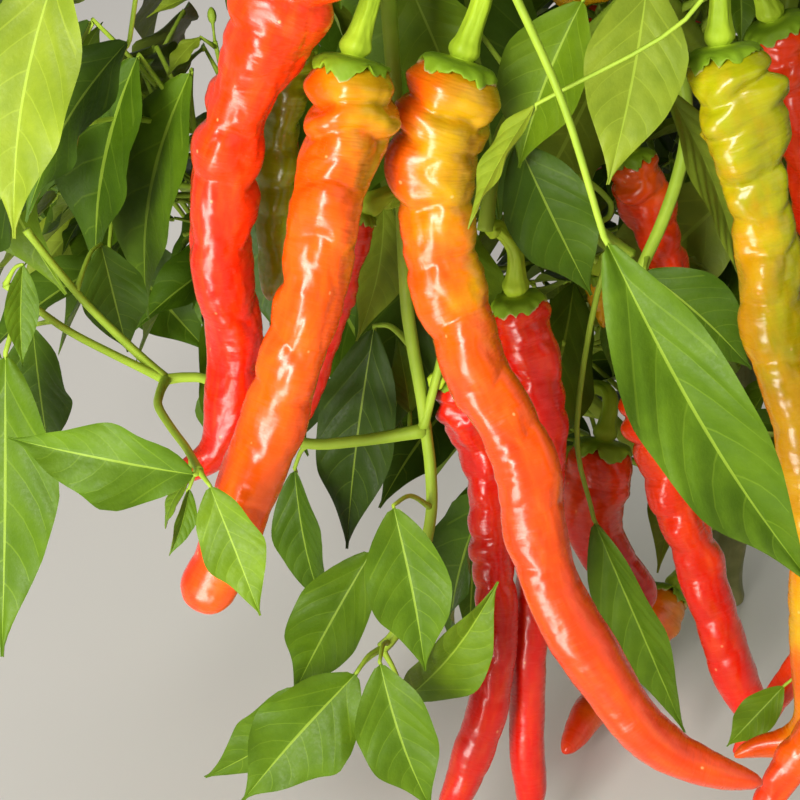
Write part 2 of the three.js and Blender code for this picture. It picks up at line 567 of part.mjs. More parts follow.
const pods = [
  ...PICTURE_PODS.map((shape) => {
    const points = shape.through.map((p) => seen(...p));
    return fruitOf(shape.name, shape.ripe, carrierOf(shape.on, points[0]), shape, points);
  }),
  ...CROWN_PODS.map((spec, i) => {
    const shape = { radius: spec.radius, keep: CROWN_POD_KEEP, taper: CROWN_POD_TAPER };
    const limb = limbs.get(spec.on);
    return fruitOf(`pod_crown_${i + 1}`, spec.ripe, limb, shape, hangingPoints(limb, spec));
  }),
];

// Leaves. A leaf is its root on a stem, the petiole's way, and its blade from foot to tip.
function leafOf(root, way, foot, tip, width, face, arch) {
  const along = unit(sub(tip, foot));
  const side = unit(cross(along, face));
  const normal = cross(side, along);
  return { root, way, foot, tip, width, side, normal, arch };
}

const midribAt = ({ foot, tip, normal, arch }, t) => add(mix(foot, tip, t), mul(normal, 4 * arch * t * (1 - t)));

// The share of its full width that a blade has at t.
function widthShare(t) {
  return t < WIDEST ? Math.sin((0.5 * Math.PI * t) / WIDEST) ** 0.8 : Math.cos((0.5 * Math.PI * (t - WIDEST)) / (1 - WIDEST)) ** 1.3;
}

function bladeSamples(leaf) {
  const found = [];
  const steps = Math.ceil(size(sub(leaf.tip, leaf.foot)) / (0.8 * CELL));
  for (let i = 0; i <= steps; i++) {
    const centre = midribAt(leaf, i / steps);
    const half = 0.5 * leaf.width * widthShare(i / steps);
    const across = Math.ceil((2 * half) / (0.8 * CELL));
    for (let k = 0; k <= across; k++)
      found.push(add(centre, mul(leaf.side, across ? half * ((2 * k) / across - 1) : 0)));
  }
  return found;
}

const petioleLine = ({ root, way, foot }) => [root, ...way, foot];
const petioleSamples = (leaf) => tubeSamples(petioleLine(leaf), [1, 1, 1, 1]);

// Books a leaf if there is room for it. Its petiole may start within its own stem.
function tryLeaf(mass, leaf, inSpace) {
  const blade = bladeSamples(leaf);
  const petiole = petioleSamples(leaf);
  if (!blade.every(inSpace) || !isFree(blade, mass.name, "blade") || !isFree(petiole, mass.name)) return false;
  book(blade, mass.name, "blade");
  book(petiole, mass.name, "petiole");
  mass.leaves.push(leaf);
  return true;
}

const turnedFace = (along, face, degrees) => {
  const turn = (degrees * Math.PI) / 180;
  const side = unit(cross(along, face));
  return add(mul(cross(side, along), Math.cos(turn)), mul(side, Math.sin(turn)));
};

// A leaf of the picture. It moves back or forward along the line of sight until it is free.
function pictureLeaf(mass, [foot, tip, width, turn, arch, way = []]) {
  for (const shift of [0, 4, -4, 8, -8, 12, -12, 16, -16, 20, -20, 26, -26, 32, 38]) {
    const place = ([across, up, depth]) => seen(across, up, depth + shift);
    const [start, end] = [place(foot), place(tip)];
    const scale = (PICTURE_DISTANCE - dot(sub(PICTURE_CENTRE, start), VIEW_AXIS)) / PICTURE_DISTANCE;
    const face = turnedFace(unit(sub(end, start)), mul(VIEW_AXIS, -1), turn);
    const route = way.map((p) => seen(...p));
    const stem = nearestStem(mass, route[0] ?? start);
    const bent = route.length || size(sub(start, stem)) < 12 ? route : [add(mix(stem, start, 0.55), [0, 0, 0.12 * size(sub(start, stem))])];
    const leaf = { ...leafOf(stem, bent, start, end, width * scale, face, arch), fine: true };
    if (tryLeaf(mass, leaf, () => true)) return;
  }
}

function nearestStem(mass, target) {
  const found = mass.stems.map((stem) => nearestOn(stem.line, stem.radii, target));
  return found.reduce((a, b) => (b.away < a.away ? b : a)).centre;
}

// Book the limbs and pods, then let each shoot take the room that is left
for (const [name, limb] of limbs) book(tubeSamples(limb.line, limb.radii), name, "limb");
for (const pod of pods) book(tubeSamples(pod.line, pod.radii), pod.name, "pod");

const masses = [];
for (const shoot of PICTURE_SHOOTS) {
  const mass = { name: shoot.name, stems: shoots.get(shoot.name).stems, leaves: [] };
  for (const stem of mass.stems) book(tubeSamples(stem.line, stem.radii), mass.name, "stem");
  for (const leaf of shoot.leaves) pictureLeaf(mass, leaf);
  masses.push(mass);
}

for (const crown of CROWN) {
  const mass = { name: crown.name, stems: [], leaves: [] };
  const parent = limbs.get(crown.parent);
  const random = seeded(crown.seed);
  const inSpace = (p) => {
    const away = sub(p, crown.centre).map((v, k) => v / crown.reach[k]);
    return dot(away, away) < 1 && p[2] > LOWEST && !inOpenFront(p);
  };
  const heading = unit(crown.heading);
  const root = add(parent.end, mul(heading, parent.node + SEAT_GAP));
  growTwig(mass, random, inSpace, root, heading, 0);
  for (const leaf of EXTRA_LEAVES[crown.name] ?? []) pictureLeaf(mass, leaf);
  masses.push(mass);
}

// One twig, the leaves at its end node, and the two twigs into which it forks there.
function growTwig(mass, random, inSpace, start, heading, level) {
  const away = unit([start[0], start[1], 0.5 * (start[2] - FORK_HEIGHT) + 1e-3]);
  let line;
  for (let attempt = 0; attempt < TRIES && !line; attempt++) {
    const spread = level ? 0.35 + 0.15 * attempt : 0.06;
    const swing = [random() - 0.5, random() - 0.5, random() - 0.35];
    const turned = unit(add(add(heading, mul(swing, 2 * spread)), mul(away, level ? 0.25 : 0)));
    const length = INTERNODE * (0.85 + 0.3 * random()) * (level ? 1 : 0.8);
    const end = add(start, mul(turned, length));
    const bend = add(mix(start, end, 0.5), mul(sub(heading, turned), 0.12 * length));
    const tested = tubeSamples([level ? start : mix(start, end, 0.3), end], [1, 1]);
    const free = tested.every((p) => inSpace(p)) && isFree(tested, mass.name);
    if (free || (!level && attempt === TRIES - 1)) line = [start, bend, end];
  }
  if (!line) return;
  const radius = TWIG_RADIUS * TWIG_TAPER ** level;
  const stem = { line, radii: [level ? radius * 0.6 : radius, radius * 0.95, radius * TWIG_TAPER] };
  mass.stems.push(stem);
  book(tubeSamples(line, stem.radii), mass.name, "stem");
  const end = line[2];
  const ahead = unit(sub(end, line[1]));
  const first = 2 * Math.PI * random();
  LEAF_PLACES.forEach((along, i) => {
    const node = along < 0.5 ? mix(line[0], line[1], 2 * along) : mix(line[1], end, 2 * along - 1);
    growLeaf(mass, random, inSpace, node, ahead, first + i * LEAF_TURN, level);
  });
  if (level === SHOOT_LEVELS) return;
  const [u, v] = crossFrames([start, end])[0];
  const turn = 2 * Math.PI * random();
  const sideways = add(mul(u, Math.cos(turn)), mul(v, Math.sin(turn)));
  for (const way of [1, -1]) {
    const child = unit(add(mul(ahead, Math.cos(FORK_TURN)), mul(sideways, way * Math.sin(FORK_TURN))));
    growTwig(mass, random, inSpace, sub(end, mul(ahead, 1.5)), child, level + 1);
  }
}

// One leaf at a node: the petiole rises outward, and the blade droops from its end.
function growLeaf(mass, random, inSpace, node, ahead, bearing, level) {
  const [u, v] = crossFrames([node, add(node, ahead)])[0];
  const away = unit([node[0], node[1], 1e-3]);
  for (let attempt = 0; attempt < TRIES; attempt++) {
    const turn = bearing + (random() - 0.5) * (0.6 + 0.8 * attempt);
    const droop = 0.3 + 1.2 * random() ** 1.3;
    const roll = 50 * (random() - 0.5);
    const length = BLADE_LENGTH * (0.72 + 0.4 * random()) * (level === SHOOT_LEVELS ? 0.86 : 1) * (1 - 0.05 * attempt);
    const radial = unit(add(add(mul(u, Math.cos(turn)), mul(v, Math.sin(turn))), mul(away, 0.45)));
    const flat = unit([radial[0], radial[1], 0.3 * radial[2]]);
    const rise = unit(add(add(mul(flat, 0.75), mul(ahead, 0.35)), [0, 0, 0.25]));
    const foot = add(node, mul(rise, PETIOLE_SHARE * length));
    const along = unit(add(flat, [0, 0, -droop]));
    const tip = add(foot, mul(along, length));
    const face = turnedFace(along, UP, roll);
    const leaf = leafOf(node, [], foot, tip, length * (0.42 + 0.07 * random()), face, 0.06 * length);
    if (tryLeaf(mass, leaf, inSpace)) return;
  }
}

// A leaf as one thin three-sided solid: petiole, blade, drip tip.
function leafSolid(leaf) {
  const places = leaf.fine ? [WIDEST, 0.74] : [WIDEST];
  const stalk = petioleLine(leaf);
  const line = [...stalk, ...places.map((t) => midribAt(leaf, t))];
  const halves = [0.3, ...stalk.slice(1).fill(PETIOLE_RADIUS), ...places.map((t) => 0.5 * leaf.width * widthShare(t))];
  const rings = line.map((p, i) => {
    const ahead = unit(sub(line[i + 1] ?? leaf.tip, line[Math.max(i - 1, 0)]));
    const side = unit(sub(leaf.side, mul(ahead, dot(leaf.side, ahead))));
    const thick = i ? LEAF_THICKNESS : 0.5;
    return [add(p, mul(side, -halves[i])), add(p, mul(side, halves[i])), add(p, mul(cross(side, ahead), -thick))];
  });
  return loft(rings, leaf.tip);
}

function massSolid(mass) {
  const parts = mass.stems.map((stem, i) => tube(stem.line, stem.radii, mass.name.startsWith("shoot") ? 4 : 3));
  parts.push(...mass.leaves.map(leafSolid));
  return wasm.Manifold.union(parts);
}

// Assembly
const COLOURS = { red: 0xd81a0c, scarlet: 0xe23510, dark: 0x9a120a, orange: 0xf06a10, amber: 0xf08a12, yellow: 0xd9cf28, green: 0x6f8a1c };
const plant = new THREE.Group();
for (const [name, limb] of limbs) {
  const solid = tube(limb.line, limb.radii, name === "main_stem" ? 10 : 6).add(nodeBall(limb.end, limb.node));
  plant.add(meshOf(name, solid, name === "main_stem" ? 0x7f8a4a : 0x86a03c, 0.6));
}
for (const pod of pods) {
  plant.add(meshOf(pod.name, tube(pod.line, pod.radii, 6, pod.tip), COLOURS[pod.ripe], 0.25));
}
for (const mass of masses) plant.add(meshOf(mass.name, massSolid(mass), 0x4f8a1e, 0.5));

export default plant;
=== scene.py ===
import math

import bpy
import numpy as np
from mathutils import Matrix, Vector, noise


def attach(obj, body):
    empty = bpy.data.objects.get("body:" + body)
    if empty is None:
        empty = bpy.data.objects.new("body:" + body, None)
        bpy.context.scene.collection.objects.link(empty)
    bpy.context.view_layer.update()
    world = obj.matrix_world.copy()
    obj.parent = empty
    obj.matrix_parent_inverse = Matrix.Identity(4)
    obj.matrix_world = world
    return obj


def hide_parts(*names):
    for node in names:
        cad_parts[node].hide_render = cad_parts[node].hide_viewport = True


# The looks of a chilli pepper plant in full fruit. The plant's own rule is worked out in
# millimetres, as in the part's source, and every mesh is put down in metres.
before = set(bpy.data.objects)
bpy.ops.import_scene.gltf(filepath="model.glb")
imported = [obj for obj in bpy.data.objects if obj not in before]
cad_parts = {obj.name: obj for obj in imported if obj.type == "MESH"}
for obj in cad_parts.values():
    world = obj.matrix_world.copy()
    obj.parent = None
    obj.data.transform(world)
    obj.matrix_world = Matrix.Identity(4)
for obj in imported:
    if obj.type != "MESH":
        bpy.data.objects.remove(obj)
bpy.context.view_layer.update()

MM = 0.001
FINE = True

# Driving dimensions of the plant
FORK_HEIGHT = 215
STEM_FOOT_RADIUS = 9
STEM_TOP_RADIUS = 6.4
STEM_TAPER = STEM_TOP_RADIUS - STEM_FOOT_RADIUS
FOOT_FLARE = 3.2
FOOT_FLARE_HEIGHT = 14
SEAT_GAP = 0.3
WIDEST = 0.4
PETIOLE_SHARE = 0.42
STALK_RADIUS = 2.3
CELL = 4
SAMPLE_STEP = 0.8 * CELL
LOWEST = 16
PICTURE_TILT = math.radians(28)
PICTURE_DISTANCE = 600
PICTURE_CENTRE = (-140, -219, 215)
PICTURE_HALF = 120
OPEN_FRONT = -95
UP = (0, 0, 1)


# Small vector helpers on (x, y, z)
def add(a, b):
    return (a[0] + b[0], a[1] + b[1], a[2] + b[2])


def sub(a, b):
    return (a[0] - b[0], a[1] - b[1], a[2] - b[2])


def mul(a, k):
    return (a[0] * k, a[1] * k, a[2] * k)


def dot(a, b):
    return a[0] * b[0] + a[1] * b[1] + a[2] * b[2]


def cross(a, b):
    return (a[1] * b[2] - a[2] * b[1], a[2] * b[0] - a[0] * b[2], a[0] * b[1] - a[1] * b[0])


def size(a):
    return math.sqrt(dot(a, a))


def unit(a):
    return mul(a, 1 / size(a))


def mix(a, b, t):
    return add(mul(a, 1 - t), mul(b, t))


def swung(u, v, turn):
    """The way that lies at an angle from u towards v."""
    return add(mul(u, math.cos(turn)), mul(v, math.sin(turn)))


VIEW_AXIS = (0, math.cos(PICTURE_TILT), -math.sin(PICTURE_TILT))
VIEW_UP = (0, math.sin(PICTURE_TILT), math.cos(PICTURE_TILT))
EYE = sub(PICTURE_CENTRE, mul(VIEW_AXIS, PICTURE_DISTANCE))


def seen(across, up, y):
    """The point at depth y that the eye sees at (across, up) on the picture plane."""
    ray = add(add(mul(VIEW_AXIS, PICTURE_DISTANCE), (across, 0, 0)), mul(VIEW_UP, up))
    return add(EYE, mul(ray, (y - EYE[1]) / ray[1]))


def on_picture(p):
    """Where the eye sees a point on the picture plane, as across and up."""
    ray = sub(p, EYE)
    scale = PICTURE_DISTANCE / dot(ray, VIEW_AXIS)
    return ray[0] * scale, dot(ray, VIEW_UP) * scale


def in_open_front(p):
    """Whether a point would stand between the eye and the picture's pods."""
    if p[1] > OPEN_FRONT:
        return False
    across, up = on_picture(p)
    return abs(across) < PICTURE_HALF and abs(up) < PICTURE_HALF


def seeded(seed):
    """A repeatable stream of numbers from 0 to 1."""
    state = [seed]

    def draw():
        state[0] = (state[0] * 16807) % 2147483647
        return state[0] / 2147483647

    return draw


def smooth(points, steps):
    """A smooth cubic curve through points, with `steps` spans between each two."""
    curve = []
    for i in range(len(points) - 1):
        b, c = points[i], points[i + 1]
        a = points[i - 1] if i else sub(mul(b, 2), c)
        d = points[i + 2] if i + 2 < len(points) else sub(mul(c, 2), b)
        for s in range(steps):
            t = s / steps
            curve.append(tuple(
                0.5 * (2 * b[k] + (c[k] - a[k]) * t + (2 * a[k] - 5 * b[k] + 4 * c[k] - d[k]) * t * t
                       + (3 * b[k] - a[k] - 3 * c[k] + d[k]) * t * t * t)
                for k in range(3)
            ))
    return curve + [tuple(points[-1])]


def cross_frames(line):
    """Two unit vectors across each point of a line, carried along it without twist."""
    frames, across = [], None
    for i in range(len(line)):
        ahead = unit(sub(line[min(i + 1, len(line) - 1)], line[max(i - 1, 0)]))
        guess = across or (cross(ahead, UP) if abs(ahead[2]) < 0.9 else cross(ahead, (0, 1, 0)))
        across = unit(sub(guess, mul(ahead, dot(guess, ahead))))
        frames.append((across, cross(ahead, across)))
    return frames


# Space is booked in cells, so that pieces of different owners stay a cell apart
near, blades = {}, {}
ROUND_A_CELL = [(i, j, k) for i in (-1, 0, 1) for j in (-1, 0, 1) for k in (-1, 0, 1)]


def cells_of(points):
    return {(math.floor(x / CELL), math.floor(y / CELL), math.floor(z / CELL)) for x, y, z in points}


def book(points, owner, blade=False):
    for x, y, z in cells_of(points):
        if blade:
            blades.setdefault((x, y, z), set()).add(owner)
        for i, j, k in ROUND_A_CELL:
            near.setdefault((x + i, y + j, z + k), set()).add(owner)


def is_free(points, owner, blade=False):
    """Whether points lie clear of other owners, and for a blade clear of its owner's other blades."""
    for cell in cells_of(points):
        if blade and owner in blades.get(cell, ()):
            return False
        found = near.get(cell)
        if found and (len(found) > 1 or owner not in found):
            return False
    return True


def tube_samples(line, radii):
    """Points along a tapering line and round it, close enough to book its cells."""
    found = []
    frames = cross_frames(line)
    for i in range(len(line) - 1):
        steps = math.ceil(size(sub(line[i + 1], line[i])) / SAMPLE_STEP)
        u, v = frames[i]
        for s in range(steps + 1):
            t = s / steps
            centre = mix(line[i], line[i + 1], t)
            radius = radii[i] * (1 - t) + radii[i + 1] * t
            found.append(centre)
            if radius > 0.4 * CELL:
                for k in range(8):
                    turn = math.pi * k / 4
                    out = add(mul(u, radius * math.cos(turn)), mul(v, radius * math.sin(turn)))
                    found.append(add(centre, out))
    return found


# The limbs: name, parent, height on the main stem where it rises from its side, the points it
# runs through, its radii and the radius of the node that ends it
LIMBS = [
    ("main_stem", None, 0, [(2, -3, 70), (-2, 2, 145), (0, 0, FORK_HEIGHT)], None, 9.4),
    ("bough_front", "main_stem", 0, [(-34, -50, 268), (-62, -105, 310)], (4.2, 3.9), 6.2),
    ("bough_right", "main_stem", 0, [(56, -10, 262), (102, -14, 302)], (4.2, 3.9), 5.6),
    ("bough_back", "main_stem", 0, [(-4, 54, 265), (-10, 98, 305)], (4.2, 3.9), 5.6),
    ("bough_left", "main_stem", 0, [(-60, 22, 268), (-112, 34, 300)], (4.4, 3.8), 5),
    ("bough_top", "main_stem", 0, [(10, 6, 295), (8, 8, 372)], (4, 3.2), 4.2),
    ("bough_front_left", "bough_front", 0, [(-108, -148, 334), (-146, -170, 346)], (3.3, 2.9), 4),
    ("bough_front_right", "bough_front", 0, [(-50, -142, 337), (-38, -180, 358)], (3.2, 2.8), 3.9),
    ("bough_right_front", "bough_right", 0, [(124, -58, 332), (138, -98, 352)], (3.3, 2.8), 3.9),
    ("bough_right_back", "bough_right", 0, [(136, 22, 338), (156, 60, 360)], (3.3, 2.8), 3.9),
    ("bough_back_right", "bough_back", 0, [(20, 126, 338), (50, 152, 358)], (3.3, 2.8), 3.9),
    ("bough_back_left", "bough_back", 0, [(-50, 130, 338), (-82, 152, 356)], (3.3, 2.8), 3.9),
    ("bough_left_front", "bough_left", 0, [(-148, -4, 326), (-172, -34, 342)], (3.1, 2.7), 3.8),
    ("low_bough_left", "main_stem", 44, [(-52, -36, 104), (-95, -60, 160)], (3.6, 3), 4),
    ("low_bough_right", "main_stem", 74, [(50, -40, 120), (88, -66, 168)], (3.4, 2.8), 3.8),
    ("low_bough_back", "main_stem", 92, [(16, 50, 136), (32, 92, 182)], (3.4, 2.8), 3.8),
    ("low_bough_front", "main_stem", 118, [(-18, -30, 148), (-48, -50, 176)], (3, 2.5), 3.3),
]

# The pods of the picture: name, what carries it, ripeness, shoulder radius, the share of it left
# before the tip, the share of the length that runs to a point, and the points it hangs by
PICTURE_PODS = [
    ("pod_red_left", "bough_front_left", "red", 14, 0.66, 0.42,
     [(-26, 135, -204), (-40, 105, -204), (-54, 62, -203), (-49, 20, -199), (-53, -14, -200),
      (-72, -26, -206)]),
    ("pod_orange_left", "bough_front_left", "orange_turning", 12.4, 0.8, 0.05,
     [(-14, 101, -198), (-17, 72, -203), (-27, 30, -216), (-39, -12, -225), (-59, -62, -236)]),
    ("pod_orange_centre", "bough_front_left", "amber_turning", 13.8, 0.72, 0.2,
     [(18, 100, -178), (9, 66, -183), (15, 28, -190), (36, -18, -202), (48, -60, -215), (75, -101, -230),
      (107, -113, -236)]),
    ("pod_yellow_right", "bough_front_right", "yellow_turning", 13.2, 0.72, 0.3,
     [(94, 104, -165), (104, 66, -170), (112, 16, -177), (121, -36, -187), (121, -92, -197),
      (98, -105, -201)]),
    ("pod_red_centre", "shoot_front_middle", "crimson", 10, 0.7, 0.12,
     [(34, 31, -142), (40, 8, -144), (42, -30, -151), (38, -76, -163), (38, -125, -176)]),
    ("pod_red_curled", "shoot_front_weeping", "crimson", 8.8, 0.96, 0.24,
     [(15, 8, -150), (24, -18, -155), (29, -62, -169), (26, -90, -179), (12, -128, -190)]),
    ("pod_red_low", "shoot_front_middle", "red", 11.2, 0.86, 0.2,
     [(73, 6, -118), (79, -20, -122), (89, -54, -129), (106, -98, -142)]),
    ("pod_red_shaded", "low_bough_left", "red", 12.6, 0.95, 0.14,
     [(60, -12, -84), (57, -36, -88), (72, -62, -94)]),
    ("pod_orange_low", "low_bough_left", "orange", 9.6, 0.9, 0.4,
     [(80, -56, -58), (68, -76, -80), (48, -104, -122)]),
    ("pod_red_right", "bough_front_right", "red", 12, 0.76, 0.25,
     [(110, 112, -112), (122, 70, -112), (127, 20, -116), (122, -38, -124)]),
    ("pod_red_behind", "bough_front", "scarlet", 9.6, 0.72, 0.2,
     [(67, 73, -98), (79, 42, -99), (85, 14, -98), (82, -18, -95)]),
    ("pod_green_left", "bough_front_left", "green", 8.6, 0.86, 0.3,
     [(-31, 108, -173), (-36, 78, -173), (-38, 29, -174)]),
    ("pod_yellow_top", "bough_front", "yellow", 9.4, 0.9, 0.2,
     [(77, 132, -66), (64, 125, -66), (44, 119, -68)]),
    ("pod_red_slim", "shoot_front_weeping", "crimson", 5.2, 0.8, 0.5,
     [(-11, 56, -168), (-17, 30, -167), (-27, -6, -164)]),
]

# The pods of the rest of the plant: the limb, how far along it, the stalk's heading in degrees
# round from +X, the length and shoulder radius, the share by which the pod bows, its ripeness
CROWN_PODS = [
    ("bough_right_front", 0.75, -20, 205, 14, 0.1, "red"),
    ("bough_right_front", 0.3, -70, 150, 12.4, -0.1, "orange"),
    ("bough_right_back", 0.8, 20, 190, 13.4, 0.13, "yellow"),
    ("bough_right_back", 0.4, 110, 210, 14, -0.08, "red"),
    ("bough_back_right", 0.7, 100, 200, 13.6, 0.1, "amber_turning"),
    ("bough_back_left", 0.75, 95, 190, 13.2, -0.12, "red"),
    ("bough_back_left", 0.3, 170, 215, 14, 0.09, "scarlet"),
    ("bough_left", 0.85, 120, 190, 13, 0.12, "yellow_turning"),
    ("bough_left_front", 0.7, 175, 200, 13.8, -0.1, "orange_turning"),
    ("low_bough_right", 0.85, -75, 118, 11.6, 0.16, "green"),
]
CROWN_POD_KEEP = 0.7
CROWN_POD_TAPER = 0.3
POD_RING_SPACING = 32
NECK_SHARE = 0.62
SHOULDER_AT = 9

# Leaf tints. The last and darkest is a painted deep-shade green: it darkens leaves that stand in shade
# behind the pods, and the crown's sprays also draw it at random
DARK, MID, LIGHT, PALE, DEEP_SHADE = range(5)

# The front shoots. A stem is the point it starts from, the points it runs through and its first
# and last radius. A leaf is its blade's foot and tip, its width, the turn of its face from the
# eye, how much it arches and its tint, and then the way of its petiole where that shows.
PICTURE_SHOOTS = [
    ("shoot_front_weeping", "bough_front_left", [
        (None, [(-4, 122, -166), (-1, 81, -162), (0.6, 54, -160), (2, 27, -160), (5.4, 6, -160),
         (7.5, -9, -161),
                (9, -34, -176), (1, -64, -186), (-5.4, -73, -189)], (2.4, 1.7)),
        ((7.5, -9, -161),
         [(-26, -13, -162), (-45, -4, -162), (-57, 6, -164), (-69, 6, -166)], (1.9, 1.5)),
        ((-69, 6, -166), [(-92, 28, -166), (-110, 50, -168)], (1.5, 1.1)),
        ((-69, 6, -166), [(-97, 20, -176), (-116, 34, -184)], (1.4, 1.1)),
        ((-69, 6, -166), [(-71, -2, -200), (-63, -14, -226), (-59, -21, -244)], (1.4, 1.1)),
        ((7, -8, -161), [(12.6, 14, -160)], (1.5, 1.3)),
    ], [
        ((-60, -22, -246), (-115.5, -11, -240), 28, -16, 5, MID),
        ((-56, -25, -250), (-41, -63.6, -258), 20, 14, 3, LIGHT),
        ((-62, -26, -246), (-68, -46, -250), 8, -40, 2, MID),
        ((-62, -23, -234), (-69, -38, -226), 7, 50, 2, LIGHT),
        ((-5, 60, -160), (-13, 17, -184), 19, -28, 4, PALE),
        # This leaf gets the darkest tint, painted deep shade
        ((-7.5, 22, -140), (-15.6, -44, -132), 26, 12, 4, DEEP_SHADE),
        ((3, -4, -152), (-1.2, 19.5, -146), 11, 30, 2, MID),
        ((-2, -31, -200), (7.5, -80, -212), 28, 8, 4, MID),
        ((-8, -44, -168), (-31.5, -87, -168), 26, 10, 4, MID),
        ((-12.6, -80, -204), (-46.5, -118, -214), 31, -10, 4, MID),
        ((-15, -84, -186), (-57.6, -111, -180), 26, -18, 3, MID),
        ((-6, -77, -212), (9.6, -121, -224), 26, 10, 4, MID),
        ((1.5, -88, -196), (29, -53, -206), 24, 24, 3, LIGHT),
        ((-111, 40, -190), (-111, 9.6, -196), 11, -20, 2, MID),
        ((-108, 22, -172), (-103, -16, -160), 22, 14, 3, DARK),
        ((-116, 14, -200), (-117, -76, -226), 34, 8, 5, MID),
        ((-31, -20, -150), (-22, -62, -146), 18, 26, 3, DARK),
        ((-88, 46, -140), (-80, 14, -132), 20, -12, 3, DARK),
    ]),
    ("shoot_front_middle", "bough_front", [
        (None, [(66, 118, -116), (58, 110, -122), (43, 97, -130), (31, 81, -138), (27, 66, -142),
         (25, 50, -145)],
         (2.6, 2.2)),
        ((66, 118, -116), [(54, 134, -150), (38, 136, -186), (33, 122, -214)], (1.7, 1.4)),
        ((66, 118, -116),
         [(80, 106, -124), (84.3, 78, -128), (77, 52, -126), (70, 36, -124), (69, 22, -122)],
         (2.3, 2)),
    ], [
        ((60, 48, -238), (123.6, -57, -228), 40, 16, 7, MID, [(33, 121, -212), (48, 87, -228)]),
        ((2, 124, -146), (17, 88, -150), 29, 20, 3, LIGHT),
        ((54, 118, -160), (35, 68, -158), 31, 16, 4, LIGHT),
        ((73, 125, -172), (61, 63, -182), 31, -8, 4, PALE),
        ((78, 92, -146), (101.4, 30, -156), 20, -38, 3, PALE),
        ((34.5, 76, -150), (56.4, 30.6, -150), 28, 10, 4, DARK),
        ((72, 38, -136), (103.5, 9, -140), 24, 6, 3, DARK),
        ((57, -35, -114), (84, -98, -114), 22, 34, 5, MID, [(60, 38, -124), (52, -8, -120)]),
    ]),
]

# The picture's leaves that belong to seeded shoots
EXTRA_LEAVES = {
    "crown_front_left": [
        ((-99.6, 131, -242), (-113.4, 47, -250), 35, 6, 5, PALE),
        ((-79.5, 106, -214), (-110, 52, -222), 34, 30, 4, DARK),
    ],
    "crown_front_right":
     [((40, 87, -216), (20, 50, -214), 14, 58, 2, PALE, [(98, 142, -224), (84, 112, -220)])],
}

# Bare curling stalks among the pods, a drooping twig just outside the picture, and what hangs there
CURLS = [
    ([(103, 150, -170), (117, 138, -172), (127, 112, -170), (131, 70, -172), (133, 20, -174),
     (135, -14, -176),
      (134, -36, -178)], (2.3, 1.6)),
    ([(44.7, 63.8, -146), (53.8, 55.9, -140), (60, 49.4, -134), (68, 43, -127)], (1.2, 1.5)),
    ([(46, 65, -142), (51.5, 66, -136), (57, 63, -132), (61.8, 58, -130), (61.4, 54, -130),
     (59, 52.5, -133)], (1.1, 0.8)),
    ([(46.5, 55, -140), (50, 55, -136), (50, 49.7, -134), (53, 44, -133), (58, 41, -133)], (0.9, 1.1)),
]
SMALL_PODS = [
    ("pod_small_1", "pod_yellow_top", "yellow", 4.6, 0.8, 0.6,
     [(57, 38, -98), (58, 31, -99), (60, 21, -101)]),
    ("pod_small_2", "pod_yellow_right", "scarlet", 6.6, 0.8, 0.4,
     [(126, -52, -156), (122, -70, -160), (112, -86, -163), (98, -104, -167)]),
    ("pod_small_3", "pod_yellow_right", "orange", 8.6, 0.85, 0.3,
     [(134, -64, -206), (129, -84, -211), (119, -100, -216), (112, -112, -219), (104, -124, -222)]),
]
TWIG_LEAVES = [
    ((113, -84, -176), (96, -102, -177), 13, 12, 2, LIGHT, [(134, -50, -174), (124, -74, -174)]),
    ((142, 84, -180), (168, 40, -170), 30, 30, 4, MID),
    ((142, 38, -188), (152, -16, -204), 28, -20, 4, LIGHT),
    ((142, 6, -164), (166, -40, -150), 26, 40, 4, DARK),
    ((144, -30, -184), (160, -80, -196), 24, 10, 3, MID),
]

# The seeded shoots: their limb, heading, the centre and half-sizes of their space, and the seed
CROWN = [
    ("crown_low_left", "low_bough_left", (-0.8, 0.2, 0.45), (-176, -20, 190), (140, 112, 124), 121),
    ("crown_low_front", "low_bough_front", (-0.7, 0.1, 0.7), (-96, -40, 196), (110, 64, 100), 454),
    ("crown_front_left", "bough_front_left", (-0.45, -0.2, 0.85), (-176, -160, 430),
     (124, 124, 124), 101),
    ("crown_front_right", "bough_front_right", (0.25, -0.3, 0.9), (-16, -160, 440), (116, 116, 120), 202),
    ("crown_right_front", "bough_right_front", (0.4, -0.35, 0.8), (156, -116, 410), (124, 124, 132), 303),
    ("crown_right_back", "bough_right_back", (0.45, 0.25, 0.8), (168, 70, 414), (122, 122, 132), 404),
    ("crown_back_right", "bough_back_right", (0.2, 0.45, 0.8), (56, 168, 410), (122, 120, 132), 505),
    ("crown_back_left", "bough_back_left", (-0.3, 0.4, 0.8), (-96, 166, 408), (122, 122, 132), 606),
    ("crown_left_back", "bough_left", (-0.5, 0.3, 0.7), (-176, 66, 380), (122, 120, 132), 707),
    ("crown_left_front", "bough_left_front", (-0.5, -0.2, 0.8), (-210, -56, 400), (108, 106, 124), 808),
    ("crown_top", "bough_top", (0, 0, 1), (4, 6, 486), (150, 144, 140), 909),
    ("crown_low_right", "low_bough_right", (0.6, -0.4, 0.5), (134, -90, 206), (120, 108, 120), 232),
    ("crown_low_back", "low_bough_back", (0.3, 0.6, 0.5), (40, 136, 208), (140, 108, 120), 343),
]
SHOOT_LEVELS = 2
INTERNODE = 60
TWIG_RADIUS = 2.3
TWIG_TAPER = 0.76
FORK_TURN = 0.62
BLADE_LENGTH = 92
LEAF_PLACES = (0.3, 0.52, 0.74, 0.96)
LEAF_TURN = 2.2
TRIES = 8


def on_stem(limb, height):
    """The centre and radius of a limb at a height."""
    i = next(k for k, p in enumerate(limb["line"]) if p[2] > height) - 1
    a, b = limb["line"][i], limb["line"][i + 1]
    t = (height - a[2]) / (b[2] - a[2])
    return mix(a, b, t), limb["radii"][i] * (1 - t) + limb["radii"][i + 1] * t


